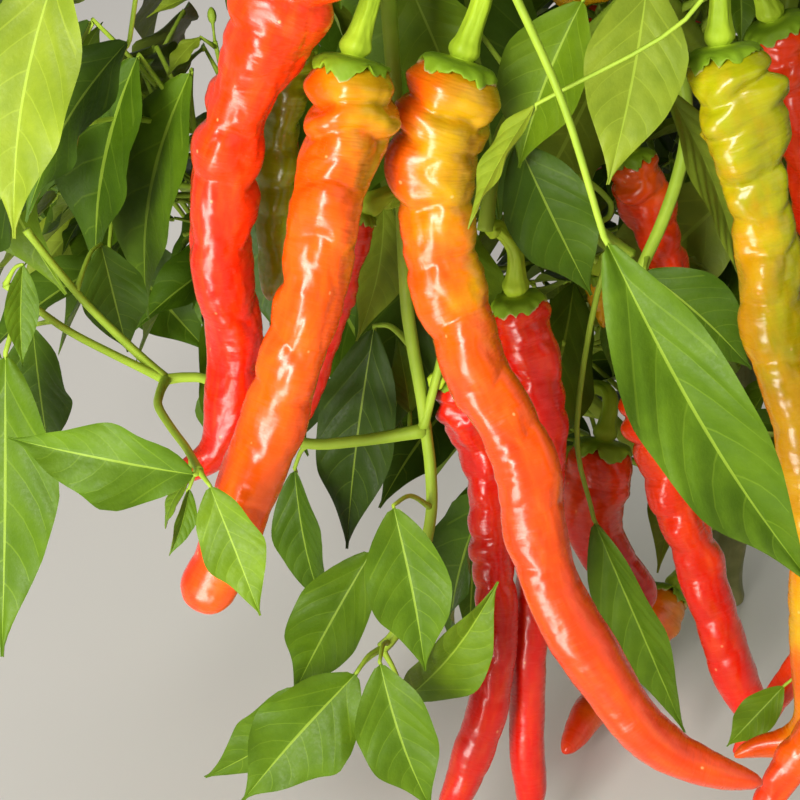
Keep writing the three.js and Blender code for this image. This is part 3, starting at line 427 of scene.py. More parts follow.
def grow_limbs():
    limbs = {}
    for name, parent_name, rise, through, ends, node in LIMBS:
        if not parent_name:
            line = [(0, 0, 0)] + smooth([(0, 0, FOOT_FLARE_HEIGHT)] + through, 2)
            radii = [STEM_FOOT_RADIUS + STEM_TAPER * p[2] / FORK_HEIGHT for p in line]
            radii[0] += FOOT_FLARE
        else:
            parent = limbs[parent_name]
            centre, radius = on_stem(parent, rise) if rise else (parent["end"], parent["node"])
            ahead = sub(through[0], centre)
            if rise:
                ahead = (ahead[0], ahead[1], 0)
            root = add(centre, mul(unit(ahead), radius + SEAT_GAP))
            line = [root] + smooth([add(root, mul(unit(ahead), 2))] + through, 2)
            radii = [ends[0] + (ends[1] - ends[0]) * i / (len(line) - 1) for i in range(len(line))]
        limbs[name] = {"line": line, "radii": radii, "end": line[-1], "node": node}
    return limbs


def nearest_on(line, radii, target):
    """The point of a line nearest to a target: centre, distance, direction and radius."""
    best = None
    for i in range(len(line) - 1):
        along = sub(line[i + 1], line[i])
        t = min(1, max(0, dot(sub(target, line[i]), along) / dot(along, along)))
        centre = mix(line[i], line[i + 1], t)
        away = size(sub(target, centre))
        if best is None or away < best[1]:
            best = (centre, away, unit(along), radii[i] * (1 - t) + radii[i + 1] * t)
    return best


def nearest_of(stems, target):
    """The stem that passes nearest to a target."""
    return min(stems, key=lambda stem: nearest_on(stem["line"], stem["radii"], target)[1])


def stalk_to(carrier, calyx, heading):
    """The points of a fruit stalk from its seat to the point above the calyx."""
    centre, away, along, radius = nearest_on(carrier["line"], carrier["radii"], calyx)
    lift = add(calyx, mul(heading, -0.45 * away))
    reach = sub(lift, centre)
    way = unit(sub(reach, mul(along, dot(reach, along))))
    node = carrier.get("node")
    if node and size(sub(centre, carrier["end"])) < node + STALK_RADIUS:
        centre, radius, way = carrier["end"], node, unit(sub(lift, carrier["end"]))
    root = add(centre, mul(way, radius + SEAT_GAP))
    return [root, add(root, mul(way, 3)), mix(root, lift, 0.7)]


def pod_radius(pod, at):
    """The radius of a pod at a distance from its calyx."""
    t = min(1, max(0, at / pod["long"]))
    neck = NECK_SHARE + (1 - NECK_SHARE) * math.sin(0.5 * math.pi * min(1, max(0, at) / SHOULDER_AT))
    taper = pod["taper"]
    run = math.sqrt(max(0, 1 - ((t - 1 + taper) / taper) ** 2)) if t > 1 - taper else 1
    return pod["radius"] * neck * (1 - (1 - pod["keep"]) * t) * run


def lengths_along(line):
    steps = [size(sub(line[i + 1], line[i])) for i in range(len(line) - 1)]
    return np.concatenate([[0], np.cumsum(steps)])


def point_at(line, at, place):
    """The point at a distance along a line, and the number of the span's end. `at` is the line's lengths."""
    i = max(1, int(np.argmax(at > place)))
    return mix(line[i - 1], line[i], (place - at[i - 1]) / (at[i] - at[i - 1])), i


def pod_of(name, ripe, carrier, radius, keep, taper, points):
    """A pod with its stalk: the centre line, the booked tube and the sizes of its skin."""
    heading = unit(sub(points[1], points[0]))
    stalk = stalk_to(carrier, points[0], heading)
    fine = smooth(points, 8)
    at = lengths_along(fine)
    pod = {"name": name, "ripe": ripe, "radius": radius, "keep": keep, "taper": taper,
           "long": float(at[-1]), "stalk": stalk, "points": points, "fine": fine}
    places = [0, SHOULDER_AT]
    count = math.floor((pod["long"] - SHOULDER_AT) / POD_RING_SPACING + 0.5)
    places += [SHOULDER_AT + (pod["long"] - SHOULDER_AT) * i / count for i in range(1, count)]
    places += [pod["long"] * (1 - 0.25 * taper), pod["long"] * (1 - 0.03 * taper)]
    pod["line"] = stalk + [point_at(fine, at, place)[0] for place in places]
    pod["radii"] = [STALK_RADIUS * (1 + 0.5 * (i / 3) ** 3) for i in range(3)]
    pod["radii"] += [pod_radius(pod, p) for p in places]
    return pod


def hanging_points(limb, along, heading, length, bow):
    """The line of a pod that hangs by the plant's own habit: out on its stalk, then down."""
    turn = math.radians(heading)
    out = (math.cos(turn), math.sin(turn), 0)
    bow_way = (-math.sin(turn), math.cos(turn), 0)
    place = along * (len(limb["line"]) - 1)
    i = min(math.floor(place), len(limb["line"]) - 2)
    seat = mix(limb["line"][i], limb["line"][i + 1], place - i)
    calyx = add(seat, add(mul(out, 24), (0, 0, -14)))
    points = []
    for t in (0, 0.25, 0.5, 0.75, 1):
        sway = bow * length * math.sin(0.9 * math.pi * t)
        drop = add(mul(out, 10 * t), (0, 0, -0.97 * length * t))
        points.append(add(calyx, add(mul(bow_way, sway), drop)))
    return points


def stem_line(points, radii, level=0):
    line = smooth(points, 2)
    first, last = radii
    count = len(line) - 1
    radii = [first + (last - first) * i / count for i in range(count + 1)]
    return {"line": line, "radii": radii, "level": level}


def grow_picture_stems(limbs):
    """The stems of the front shoots, because pods hang from them."""
    found = {}
    for name, parent_name, stems, _ in PICTURE_SHOOTS:
        parent = limbs[parent_name]
        made = []
        for start, through, radii in stems:
            points = [seen(*p) for p in through]
            if start:
                root = seen(*start)
            else:
                ahead = unit(sub(points[0], parent["end"]))
                root = add(parent["end"], mul(ahead, parent["node"] + SEAT_GAP))
            made.append(stem_line([root] + points, radii))
        found[name] = made
    return found


def grow_pods(limbs, shoots):
    pods = []
    for name, on, ripe, radius, keep, taper, through in PICTURE_PODS:
        points = [seen(*p) for p in through]
        if on in limbs:
            carrier = limbs[on]
        else:
            carrier = nearest_of(shoots[on], points[0])
        pods.append(pod_of(name, ripe, carrier, radius, keep, taper, points))
    for i, (on, along, heading, length, radius, bow, ripe) in enumerate(CROWN_PODS):
        points = hanging_points(limbs[on], along, heading, length, bow)
        name = f"pod_crown_{i + 1}"
        pods.append(pod_of(name, ripe, limbs[on], radius, CROWN_POD_KEEP, CROWN_POD_TAPER, points))
    return pods


# Leaves. A leaf is its root on a stem, the petiole's way, and its blade from foot to tip.
def leaf_of(root, way, foot, tip, width, face, arch, **more):
    along = unit(sub(tip, foot))
    side = unit(cross(along, face))
    return {"root": root, "way": way, "foot": foot, "tip": tip, "width": width, "side": side,
            "normal": cross(side, along), "arch": arch, **more}


def midrib_at(leaf, t):
    return add(mix(leaf["foot"], leaf["tip"], t), mul(leaf["normal"], 4 * leaf["arch"] * t * (1 - t)))


def width_share(t):
    """The share of its full width that a blade has at t."""
    if t < WIDEST:
        return math.sin(0.5 * math.pi * t / WIDEST) ** 0.8
    return max(0, math.cos(0.5 * math.pi * (t - WIDEST) / (1 - WIDEST))) ** 1.3


def blade_samples(leaf):
    found = []
    steps = math.ceil(size(sub(leaf["tip"], leaf["foot"])) / SAMPLE_STEP)
    for i in range(steps + 1):
        centre = midrib_at(leaf, i / steps)
        half = 0.5 * leaf["width"] * width_share(i / steps)
        across = math.ceil(2 * half / SAMPLE_STEP)
        for k in range(across + 1):
            found.append(add(centre, mul(leaf["side"], half * (2 * k / across - 1) if across else 0)))
    return found


def petiole_line(leaf):
    return [leaf["root"]] + leaf["way"] + [leaf["foot"]]


def try_leaf(mass, leaf, in_space):
    """Books a leaf if there is room for it. Its petiole may start within its own stem."""
    blade = blade_samples(leaf)
    petiole = tube_samples(petiole_line(leaf), (1, 1, 1, 1))
    name = mass["name"]
    if not (all(in_space(p) for p in blade) and is_free(blade, name, True) and is_free(petiole, name)):
        return False
    book(blade, name, True)
    book(petiole, name)
    mass["leaves"].append(leaf)
    return True


def turned_face(along, face, degrees):
    turn = math.radians(degrees)
    side = unit(cross(along, face))
    return swung(cross(side, along), side, turn)


def nearest_stem(mass, target):
    """The point on a mass's stems nearest to a target."""
    return min((nearest_on(s["line"], s["radii"], target) for s in mass["stems"]), key=lambda f: f[1])[0]


# How far a leaf of the picture may move in depth, nearest places first
DEPTH_SHIFTS = (0, 4, -4, 8, -8, 12, -12, 16, -16, 20, -20, 26, -26, 32, 38)


def picture_leaf(mass, foot, tip, width, turn, arch, tint, way=()):
    """A leaf of the picture. It moves back or forward along the line of sight until it is free."""
    for shift in DEPTH_SHIFTS:
        start, end = (seen(p[0], p[1], p[2] + shift) for p in (foot, tip))
        scale = (PICTURE_DISTANCE - dot(sub(PICTURE_CENTRE, start), VIEW_AXIS)) / PICTURE_DISTANCE
        face = turned_face(unit(sub(end, start)), mul(VIEW_AXIS, -1), turn)
        route = [seen(*p) for p in way]
        stem = nearest_stem(mass, route[0] if route else start)
        if not route and size(sub(start, stem)) >= 12:
            route = [add(mix(stem, start, 0.55), (0, 0, 0.12 * size(sub(start, stem))))]
        leaf = leaf_of(stem, route, start, end, width * scale, face, arch, fine=True, tint=tint)
        if try_leaf(mass, leaf, lambda p: True):
            return


def on_twig(line, along):
    """The point at a share of a twig's length. A twig bends once, in its middle."""
    return mix(line[0], line[1], 2 * along) if along < 0.5 else mix(line[1], line[2], 2 * along - 1)


def has_room(points, name, in_space):
    return all(in_space(p) for p in points) and is_free(points, name)


def grow_twig(mass, random, in_space, start, heading, level):
    """One twig, the leaves along it, and the two twigs into which it forks at its end."""
    away = unit((start[0], start[1], 0.5 * (start[2] - FORK_HEIGHT) + 1e-3))
    line = None
    for attempt in range(TRIES):
        spread = 0.35 + 0.15 * attempt if level else 0.06
        swing = (random() - 0.5, random() - 0.5, random() - 0.35)
        turned = unit(add(add(heading, mul(swing, 2 * spread)), mul(away, 0.25 if level else 0)))
        length = INTERNODE * (0.85 + 0.3 * random()) * (1 if level else 0.8)
        end = add(start, mul(turned, length))
        bend = add(mix(start, end, 0.5), mul(sub(heading, turned), 0.12 * length))
        tested = tube_samples([start if level else mix(start, end, 0.3), end], (1, 1))
        free = has_room(tested, mass["name"], in_space)
        if free or (not level and attempt == TRIES - 1):
            line = [start, bend, end]
            break
    if not line:
        return
    radius = TWIG_RADIUS * TWIG_TAPER ** level
    radii = [radius * 0.6 if level else radius, radius * 0.95, radius * TWIG_TAPER]
    stem = {"line": line, "radii": radii, "level": level}
    mass["stems"].append(stem)
    book(tube_samples(line, stem["radii"]), mass["name"])
    end = line[2]
    ahead = unit(sub(end, line[1]))
    first = 2 * math.pi * random()
    for i, along in enumerate(LEAF_PLACES):
        node = on_twig(line, along)
        bearing = first + i * LEAF_TURN
        grow_leaf(mass, random, in_space, node, ahead, bearing, BLADE_LENGTH, level == SHOOT_LEVELS)
    if level == SHOOT_LEVELS:
        return
    u, v = cross_frames([start, end])[0]
    turn = 2 * math.pi * random()
    sideways = swung(u, v, turn)
    for way in (1, -1):
        child = unit(add(mul(ahead, math.cos(FORK_TURN)), mul(sideways, way * math.sin(FORK_TURN))))
        grow_twig(mass, random, in_space, sub(end, mul(ahead, 1.5)), child, level + 1)


def grow_leaf(mass, random, in_space, node, ahead, bearing, blade, last):
    """One leaf at a node: the petiole rises outward, and the blade droops from its end."""
    u, v = cross_frames([node, add(node, ahead)])[0]
    away = unit((node[0], node[1], 1e-3))
    for attempt in range(TRIES):
        turn = bearing + (random() - 0.5) * (0.6 + 0.8 * attempt)
        droop = 0.3 + 1.2 * random() ** 1.3
        roll = 50 * (random() - 0.5)
        length = blade * (0.72 + 0.4 * random()) * (0.86 if last else 1) * (1 - 0.05 * attempt)
        radial = unit(add(swung(u, v, turn), mul(away, 0.45)))
        flat = unit((radial[0], radial[1], 0.3 * radial[2]))
        rise = unit(add(add(mul(flat, 0.75), mul(ahead, 0.35)), (0, 0, 0.25)))
        foot = add(node, mul(rise, PETIOLE_SHARE * length))
        along = unit(add(flat, (0, 0, -droop)))
        tip = add(foot, mul(along, length))
        face = turned_face(along, UP, roll)
        width = length * (0.42 + 0.07 * random())
        leaf = leaf_of(node, [], foot, tip, width, face, 0.06 * length, fine=False)
        if try_leaf(mass, leaf, in_space):
            return


def space_of(centre, reach):
    def inside(p):
        away = [(p[k] - centre[k]) / reach[k] for k in range(3)]
        return dot(away, away) < 1 and p[2] > LOWEST and not in_open_front(p)

    return inside


def grow_plant():
    """The whole plant by the source's rule: limbs, pods, and masses of twigs and leaves."""
    limbs = grow_limbs()
    shoots = grow_picture_stems(limbs)
    pods = grow_pods(limbs, shoots)
    for name, limb in limbs.items():
        book(tube_samples(limb["line"], limb["radii"]), name)
    for pod in pods:
        book(tube_samples(pod["line"], pod["radii"]), pod["name"])
    masses = []
    for name, _, _, leaves in PICTURE_SHOOTS:
        mass = {"name": name, "stems": shoots[name], "leaves": []}
        for stem in mass["stems"]:
            book(tube_samples(stem["line"], stem["radii"]), name)
        for leaf in leaves:
            picture_leaf(mass, *leaf)
        masses.append(mass)
    for name, parent_name, heading, centre, reach, seed in CROWN:
        mass = {"name": name, "stems": [], "leaves": [], "space": space_of(centre, reach), "seed": seed}
        parent = limbs[parent_name]
        ahead = unit(heading)
        root = add(parent["end"], mul(ahead, parent["node"] + SEAT_GAP))
        grow_twig(mass, seeded(seed), mass["space"], root, ahead, 0)
        for leaf in EXTRA_LEAVES.get(name, []):
            picture_leaf(mass, *leaf)
        masses.append(mass)
    return limbs, pods, masses


# Carried on to finer twigs: sprigs with young leaves stand at the nodes and ends of the twigs
SPRIG_LENGTH = 30
YOUNG_BLADE = 52
SPRIG_TRIES = 4
SPRIG_PLACES = {0: (0.45, 0.8), 1: (0.4, 0.75), 2: (0.35, 0.7, 1.0, 1.0)}


def grow_sprig(mass, random, start, ahead):
    """A young side twig with three small leaves, whose end is kept as a tip."""
    u, v = cross_frames([start, add(start, ahead)])[0]
    for _ in range(SPRIG_TRIES):
        turn = 2 * math.pi * random()
        lean = 0.5 + 0.5 * random()
        sideways = swung(u, v, turn)
        heading = unit(add(swung(ahead, sideways, lean), (0, 0, 0.2)))
        length = SPRIG_LENGTH * (0.7 + 0.6 * random())
        end = add(start, mul(heading, length))
        tested = tube_samples([mix(start, end, 0.3), end], (1, 1))
        if has_room(tested, mass["name"], mass["space"]):
            break
    else:
        return
    middle = add(mix(start, end, 0.5), mul(sideways, 0.06 * length))
    mass["stems"].append({"line": [start, middle, end], "radii": [0.9, 0.95, 0.7], "level": 3})
    book(tube_samples([start, end], (1, 1)), mass["name"])
    first = 2 * math.pi * random()
    for i, along in enumerate((0.4, 0.7, 0.95)):
        node, blade = mix(start, end, along), YOUNG_BLADE * (1.15 - 0.3 * i)
        grow_leaf(mass, random, mass["space"], node, heading, first + i * LEAF_TURN, blade, True)
    mass["tips"].append((end, heading))


SIDE_REACH = ((-20, 0, 300), (262, 246, 274))
SIDE_SPACING = 26
SIDE_BLADE = 84
SIDE_LENGTH = 46
SIDE_LOWEST = 55
SIDE_TRIES = 6
HOST_REACH = 72
HOST_NEAREST = 9
BEHIND_TRIES = 1500
ROUND_TRIES = 1200


def grow_side_shoots(limbs):
    """Leafy side shoots straight off the limbs, in the room that is left between pods and crown."""
    mass = {"name": "side_shoots", "stems": [], "leaves": [], "tips": [], "seed": 61,
            "space": space_of(*SIDE_REACH)}
    random = seeded(mass["seed"])
    for limb in limbs.values():
        line, at = limb["line"], lengths_along(limb["line"])
        count = int(at[-1] // SIDE_SPACING)
        for k in range(1, count + 1):
            place = at[-1] * (k + 0.3 * (random() - 0.5)) / (count + 0.5)
            node, i = point_at(line, at, place)
            if node[2] < SIDE_LOWEST:
                continue
            ahead = unit(sub(line[i], line[i - 1]))
            u, v = cross_frames([node, add(node, ahead)])[0]
            for _ in range(SIDE_TRIES):
                turn = 2 * math.pi * random()
                sideways = swung(u, v, turn)
                heading = unit(add(add(mul(sideways, 0.9), mul(ahead, 0.45)), (0, 0, 0.25)))
                length = SIDE_LENGTH * (0.6 + 0.7 * random())
                end = add(node, mul(heading, length))
                tested = tube_samples([mix(node, end, 0.35), end], (1, 1))
                if has_room(tested, mass["name"], mass["space"]):
                    break
            else:
                continue
            middle = add(mix(node, end, 0.5), (0, 0, -0.06 * length))
            mass["stems"].append({"line": [node, middle, end], "radii": [1.5, 1.5, 1.1], "level": 2})
            book(tube_samples([mix(node, end, 0.2), end], (1, 1)), mass["name"])
            first = 2 * math.pi * random()
            for j, along in enumerate((0.35, 0.6, 0.85, 1.0)):
                leaf_node, bearing = mix(node, end, along), first + j * LEAF_TURN
                grow_leaf(mass, random, mass["space"], leaf_node, heading, bearing, SIDE_BLADE, False)
    return mass


def leafy_there(across, up):
    """Whether the picture shows leaves behind the pods, and not open ground."""
    return up > np.interp(across, (-125, -62, -56, -22, -18, 125), (10, 4, -38, -50, -78, -70))


def nearest_host(hosts, target, reach):
    """The shoot and the point on its stems nearest to a target."""
    best = None
    for mass in hosts:
        for stem in mass["stems"]:
            if size(sub(stem["line"][1], target)) < reach + 45:
                centre, away = nearest_on(stem["line"], stem["radii"], target)[:2]
                if away < reach and (best is None or away < best[2]):
                    best = (mass, centre, away)
    return best


def hang_leaf(hosts, random, centre, along, face, long, in_space, **more):
    """A leaf whose blade hangs about a place, on a petiole from the nearest twig."""
    foot = add(centre, mul(along, -0.45 * long))
    tip = add(centre, mul(along, 0.55 * long))
    host = nearest_host(hosts, foot, HOST_REACH)
    if host is None or host[2] < HOST_NEAREST:
        return
    mass, root, away = host
    way = [add(mix(root, foot, 0.5), add(mul(along, 0.1 * away), (0, 0, 0.14 * away)))]
    width = long * (0.42 + 0.08 * random())
    leaf = leaf_of(root, way, foot, tip, width, face, 0.07 * long, fine=False, **more)
    try_leaf(mass, leaf, in_space)


def fill_in(masses):
    """Leaves in the room left: behind the pods where the picture shows them, and round under the crown."""
    hosts = [mass for mass in masses if "space" in mass]
    random = seeded(4711)
    for _ in range(BEHIND_TRIES):
        across, up, depth = 250 * random() - 125, 230 * random() - 105, -128 + 170 * random()
        along = unit((random() - 0.5, 0.7 * (random() - 0.65), -0.35 - 0.75 * random()))
        face = turned_face(along, sub(mul(VIEW_AXIS, -1), (0, 0, -0.5)), 110 * (random() - 0.5))
        # Behind the pods most leaves get the two darkest tints: painted shade for the shade that falls there
        long, shade = 62 + 46 * random(), random()
        tint = DEEP_SHADE if shade < 0.34 else DARK if shade < 0.72 else MID if shade < 0.94 else LIGHT
        if leafy_there(across, up):
            hang_leaf(hosts, random, seen(across, up, depth), along, face, long,
                      lambda p: p[2] > LOWEST and leafy_there(*on_picture(p)), tint=tint)
    inside = space_of(*SIDE_REACH)
    for _ in range(ROUND_TRIES):
        turn, out, high = 2 * math.pi * random(), 50 + 185 * random() ** 0.8, 60 + 290 * random()
        centre = (SIDE_REACH[0][0] + out * math.cos(turn), out * math.sin(turn), high)
        outward = (math.cos(turn), math.sin(turn), 0)
        sway = (random() - 0.5, random() - 0.5, 0)
        along = unit(add(add(mul(outward, 0.5), sway), (0, 0, -0.3 - 0.8 * random())))
        face = turned_face(along, add(outward, (0, 0, 0.8)), 80 * (random() - 0.5))
        if inside(centre):
            hang_leaf(hosts, random, centre, along, face, 60 + 40 * random(), inside)


def add_small_things(masses):
    """The curling stalks, the drooping twig with its leaves, and the small pods on them."""
    mass = next(m for m in masses if m["name"] == "shoot_front_middle")
    for through, radii in CURLS:
        stem = stem_line([seen(*p) for p in through], radii)
        mass["stems"].append(stem)
        book(tube_samples(stem["line"], stem["radii"]), mass["name"])
    for leaf in TWIG_LEAVES:
        picture_leaf(mass, *leaf)
    found = []
    for name, kin, ripe, radius, keep, taper, through in SMALL_PODS:
        points = [seen(*p) for p in through]
        carrier = nearest_of(mass["stems"], points[0])
        pod = pod_of(name, ripe, carrier, radius, keep, taper, points)
        book(tube_samples(pod["line"], pod["radii"]), name)
        found.append({**pod, "kin": kin})
    return found


def carry_on(masses):
    for mass in masses:
        mass["tips"] = []
        if "space" not in mass:
            continue
        random = seeded(mass["seed"] * 7 + 5)
        for stem in list(mass["stems"]):
            line = stem["line"]
            for along in SPRIG_PLACES[stem["level"]]:
                grow_sprig(mass, random, on_twig(line, along), unit(sub(line[2], line[1])))


# Meshes
def piece_from(name, points, faces, slots, materials, sharp):
    """One joined piece from points in millimetres, and faces of three or four corners each.

    An edge between two `sharp` points is a sharp one.
    """
    mesh = bpy.data.meshes.new(name)
    corners = np.concatenate([np.asarray(f, np.int32).ravel() for f in faces])
    totals = np.concatenate([np.full(len(f), np.asarray(f).shape[1], np.int32) for f in faces])
    mesh.vertices.add(len(points))
    mesh.vertices.foreach_set("co", (np.asarray(points, np.float64) * MM).astype(np.float32).ravel())
    mesh.loops.add(len(corners))
    mesh.loops.foreach_set("vertex_index", corners)
    mesh.polygons.add(len(totals))
    mesh.polygons.foreach_set("loop_start", np.concatenate([[0], np.cumsum(totals)[:-1]]).astype(np.int32))
    mesh.polygons.foreach_set("material_index", np.concatenate(slots).astype(np.int32))
    mesh.polygons.foreach_set("use_smooth", np.ones(len(totals), bool))
    for material in materials:
        mesh.materials.append(material)
    mesh.update(calc_edges=True)
    ends = np.zeros(len(mesh.edges) * 2, np.int32)
    mesh.edges.foreach_get("vertices", ends)
    ends = ends.reshape(-1, 2)
    mark = mesh.attributes.new("sharp_edge", "BOOLEAN", "EDGE")
    mark.data.foreach_set("value", sharp[ends[:, 0]] & sharp[ends[:, 1]])
    piece = bpy.data.objects.new(name, mesh)
    bpy.context.scene.collection.objects.link(piece)
    return piece


class Gathered:
    """Points and faces of many small things, to be joined into one piece."""

    def __init__(self):
        self.points, self.faces, self.slots, self.rims, self.count, self.triangles = [], [], [], [], 0, 0

    def take(self, points, faces, slots, rims=None):
        self.points.append(points)
        for face, slot in zip(faces, slots):
            face = np.asarray(face)
            self.faces.append(face + self.count)
            self.slots.append(np.full(len(face), slot) if np.isscalar(slot) else np.asarray(slot))
            self.triangles += len(face) * (face.shape[1] - 2)
        self.rims.append(np.zeros(len(points), bool) if rims is None else rims)
        self.count += len(points)

    def piece(self, name, materials):
        points, rims = np.concatenate(self.points), np.concatenate(self.rims)
        return piece_from(name, points, self.faces, self.slots, materials, rims)


def swept(line, radii, sides, ribs=0.0):
    """A closed tube along a line, as points and faces. `ribs` is the share by which five ribs stand out."""
    frames = cross_frames(line)
    turn = 2 * np.pi * np.arange(sides) / sides
    rings = []
    for p, radius, (u, v) in zip(line, radii, frames):
        r = radius * (1 + ribs * np.cos(5 * turn))
        rings.append(np.asarray(p) + np.outer(r * np.cos(turn), u) + np.outer(r * np.sin(turn), v))
    count = len(line)
    points = np.concatenate(rings + [np.asarray([line[0], line[-1]], float)])
    k = np.arange(sides)
    after = (k + 1) % sides
    quads = np.concatenate([
        np.stack([r * sides + k, r * sides + after, (r + 1) * sides + after, (r + 1) * sides + k], 1)
        for r in range(count - 1)
    ])
    start, end = count * sides, count * sides + 1
    last = (count - 1) * sides
    caps = np.concatenate([
        np.stack([np.full(sides, start), after, k], 1),
        np.stack([np.full(sides, end), last + k, last + after], 1),
    ])
    return points, quads, caps


# Blades
class BladeGrid:
    """The rows and columns of a blade, whose rows bend forward along its side veins."""

    def __init__(self, veins, between, columns, vein_half):
        spacing = 0.8 / veins
        self.vein_places = [0.09 + spacing * k for k in range(veins)]
        rows = []
        stops = [0.012] + self.vein_places + [0.992]
        for k, (a, b) in enumerate(zip(stops, stops[1:])):
            start = a + vein_half if k else a
            end = b - vein_half if k < veins else b
            rows += list(np.linspace(start, end, between + 2 + (4 if vein_half and not k else 0)))
        self.rows = np.unique(np.round(rows, 6))
        self.columns = np.array(columns, float)
        c, v = np.meshgrid(self.rows, self.columns, indexing="ij")
        side_shift = 0.25 * spacing * np.sign(v) * np.sin(np.pi * c) if vein_half else 0
        c = c + side_shift
        lead = np.clip(c / 0.12, 0, 1)
        lead = lead * lead * (3 - 2 * lead)
        self.t = np.clip(c + 0.36 * (1 - c) * lead * np.abs(v) ** 1.3, 0.004, 0.996)
        self.v = v
        half = np.where(
            self.t < WIDEST,
            np.sin(0.5 * np.pi * np.minimum(self.t, WIDEST) / WIDEST) ** 0.8,
            np.clip(np.cos(0.5 * np.pi * (self.t - WIDEST) / (1 - WIDEST)), 0, 1) ** 1.3,
        )
        self.half = np.maximum(half * (1 - 0.3 * np.clip((self.t - 0.62) / 0.38, 0, 1)), 0.035)
        places = np.array([-0.06] + self.vein_places + [1.02])
        order = np.searchsorted(places, self.rows, side="right") - 1
        share = (self.rows - places[order]) / (places[order + 1] - places[order])
        crosswise = np.clip(4 * np.abs(v) * (1 - np.abs(v)), 0, 1) ** 0.8
        self.bulge = (np.sin(np.pi * share) ** 0.8)[:, None] * crosswise
        self.rib = np.exp(-(v / 0.07) ** 2) * (1 - self.t)
        count_r, count_c = self.t.shape
        index = np.arange(count_r * count_c).reshape(count_r, count_c)
        inner = np.zeros_like(index, bool)
        inner[1:-1, 1:-1] = True
        under = index.copy()
        under[inner] = count_r * count_c + np.arange(inner.sum())
        self.inner = inner
        self.rims = np.concatenate([~inner.ravel(), np.zeros(inner.sum(), bool)])

        def quads(grid, flip):
            a, b, d, e = grid[:-1, :-1], grid[:-1, 1:], grid[1:, 1:], grid[1:, :-1]
            corners = [a, e, d, b] if flip else [a, b, d, e]
            return np.stack([x.ravel() for x in corners], 1)

        self.faces = [quads(index, False), quads(under, True)]
        middle = np.abs(self.columns[:-1] + self.columns[1:]) < 1e-6
        vein_row = np.zeros(count_r - 1, bool)
        if vein_half:
            for place in self.vein_places:
                vein_row |= np.isclose(self.rows[:-1], place - vein_half)
        outer = np.maximum(np.abs(self.columns[:-1]), np.abs(self.columns[1:])) > 0.9
        self.midrib = (middle[None, :] & (self.rows[:-1] < 0.93)[:, None]).ravel()
        self.vein = (vein_row[:, None] & ~outer[None, :] & ~middle[None, :]).ravel()

    def points(self, leaf, fold, wave, phase, quilt, thick):
        """The blade's points: its upper sheet, and then the inner points of its lower one."""
        foot, tip, side, normal = (np.array(leaf[k]) for k in ("foot", "tip", "side", "normal"))
        long = size(sub(leaf["tip"], leaf["foot"]))
        half = 0.5 * leaf["width"] * self.half
        edge = np.abs(self.v)
        rise = 4 * leaf["arch"] * self.t * (1 - self.t)
        rise = rise + quilt * long * self.bulge
        rise = rise + half * edge * math.sin(fold)
        rise = rise + wave * half * edge ** 2 * np.sin(2 * np.pi * (2.6 * self.t + phase) + np.sign(self.v))
        across = half * self.v * (1 - (1 - math.cos(fold)) * edge)
        sway = 0.03 * long * math.sin(2 * math.pi * phase) * np.sin(np.pi * self.t)
        upper = (foot + self.t[..., None] * (tip - foot)
                 + (across + sway)[..., None] * side + rise[..., None] * normal)
        depth = thick * (1 + 2.2 * self.rib)
        lower = upper - depth[..., None] * normal
        return np.concatenate([upper.reshape(-1, 3), lower[self.inner]])


FINE_COLUMNS = (-1, -0.88, -0.64, -0.38, -0.16, -0.025, 0.025, 0.16, 0.38, 0.64, 0.88, 1)
MIDDLE_COLUMNS = (-1, -0.75, -0.4, -0.04, 0.04, 0.4, 0.75, 1)
CROWN_COLUMNS = (-1, -0.55, -0.05, 0.05, 0.55, 1)
FINE_GRID = BladeGrid(6, 3, FINE_COLUMNS, 0.0035)
MIDDLE_GRID = BladeGrid(5, 2, MIDDLE_COLUMNS, 0.005)
CROWN_GRID = BladeGrid(3, 1, CROWN_COLUMNS, 0)


# Materials
def new_material(name, roughness, **values):
    """A material with its Principled shader: (material, nodes, link, shader)."""
    material = bpy.data.materials.new(name)
    material.use_nodes = True
    tree = material.node_tree
    shader = tree.nodes["Principled BSDF"]
    shader.inputs["Roughness"].default_value = roughness
    for key, value in values.items():
        shader.inputs[key.replace("_", " ")].default_value = value
    return material, tree.nodes, tree.links.new, shader


def new_group(name, inputs, outputs):
    """An empty node group with named sockets: (group, nodes, link, its input node, its output node)."""
    group = bpy.data.node_groups.new(name, "ShaderNodeTree")
    for socket, kind, value in inputs:
        made = group.interface.new_socket(socket, in_out="INPUT", socket_type=kind)
        made.default_value = value
    for socket, kind in outputs:
        group.interface.new_socket(socket, in_out="OUTPUT", socket_type=kind)
    return (group, group.nodes, group.links.new,
            group.nodes.new("NodeGroupInput"), group.nodes.new("NodeGroupOutput"))


COLOUR, NUMBER = "NodeSocketColor", "NodeSocketFloat"


def noise_of(nodes, link, vector, scale, detail=2.0, rough=0.5, stretch=None):
    """A noise texture's value on a vector, which may be stretched first."""
    if stretch:
        mapping = nodes.new("ShaderNodeMapping")
        mapping.inputs["Scale"].default_value = stretch
        link(vector, mapping.inputs["Vector"])
        vector = mapping.outputs["Vector"]
    texture = nodes.new("ShaderNodeTexNoise")
    texture.inputs["Scale"].default_value = scale
    texture.inputs["Detail"].default_value = detail
    texture.inputs["Roughness"].default_value = rough
    link(vector, texture.inputs["Vector"])
    return texture.outputs["Fac"]


def sums(nodes, link, operation, a, b):
    """A Math node on two sockets or numbers."""
    node = nodes.new("ShaderNodeMath")
    node.operation = operation
    for socket, value in zip(node.inputs, (a, b)):
        if isinstance(value, (int, float)):
            socket.default_value = value
        else:
            link(value, socket)
    return node.outputs[0]


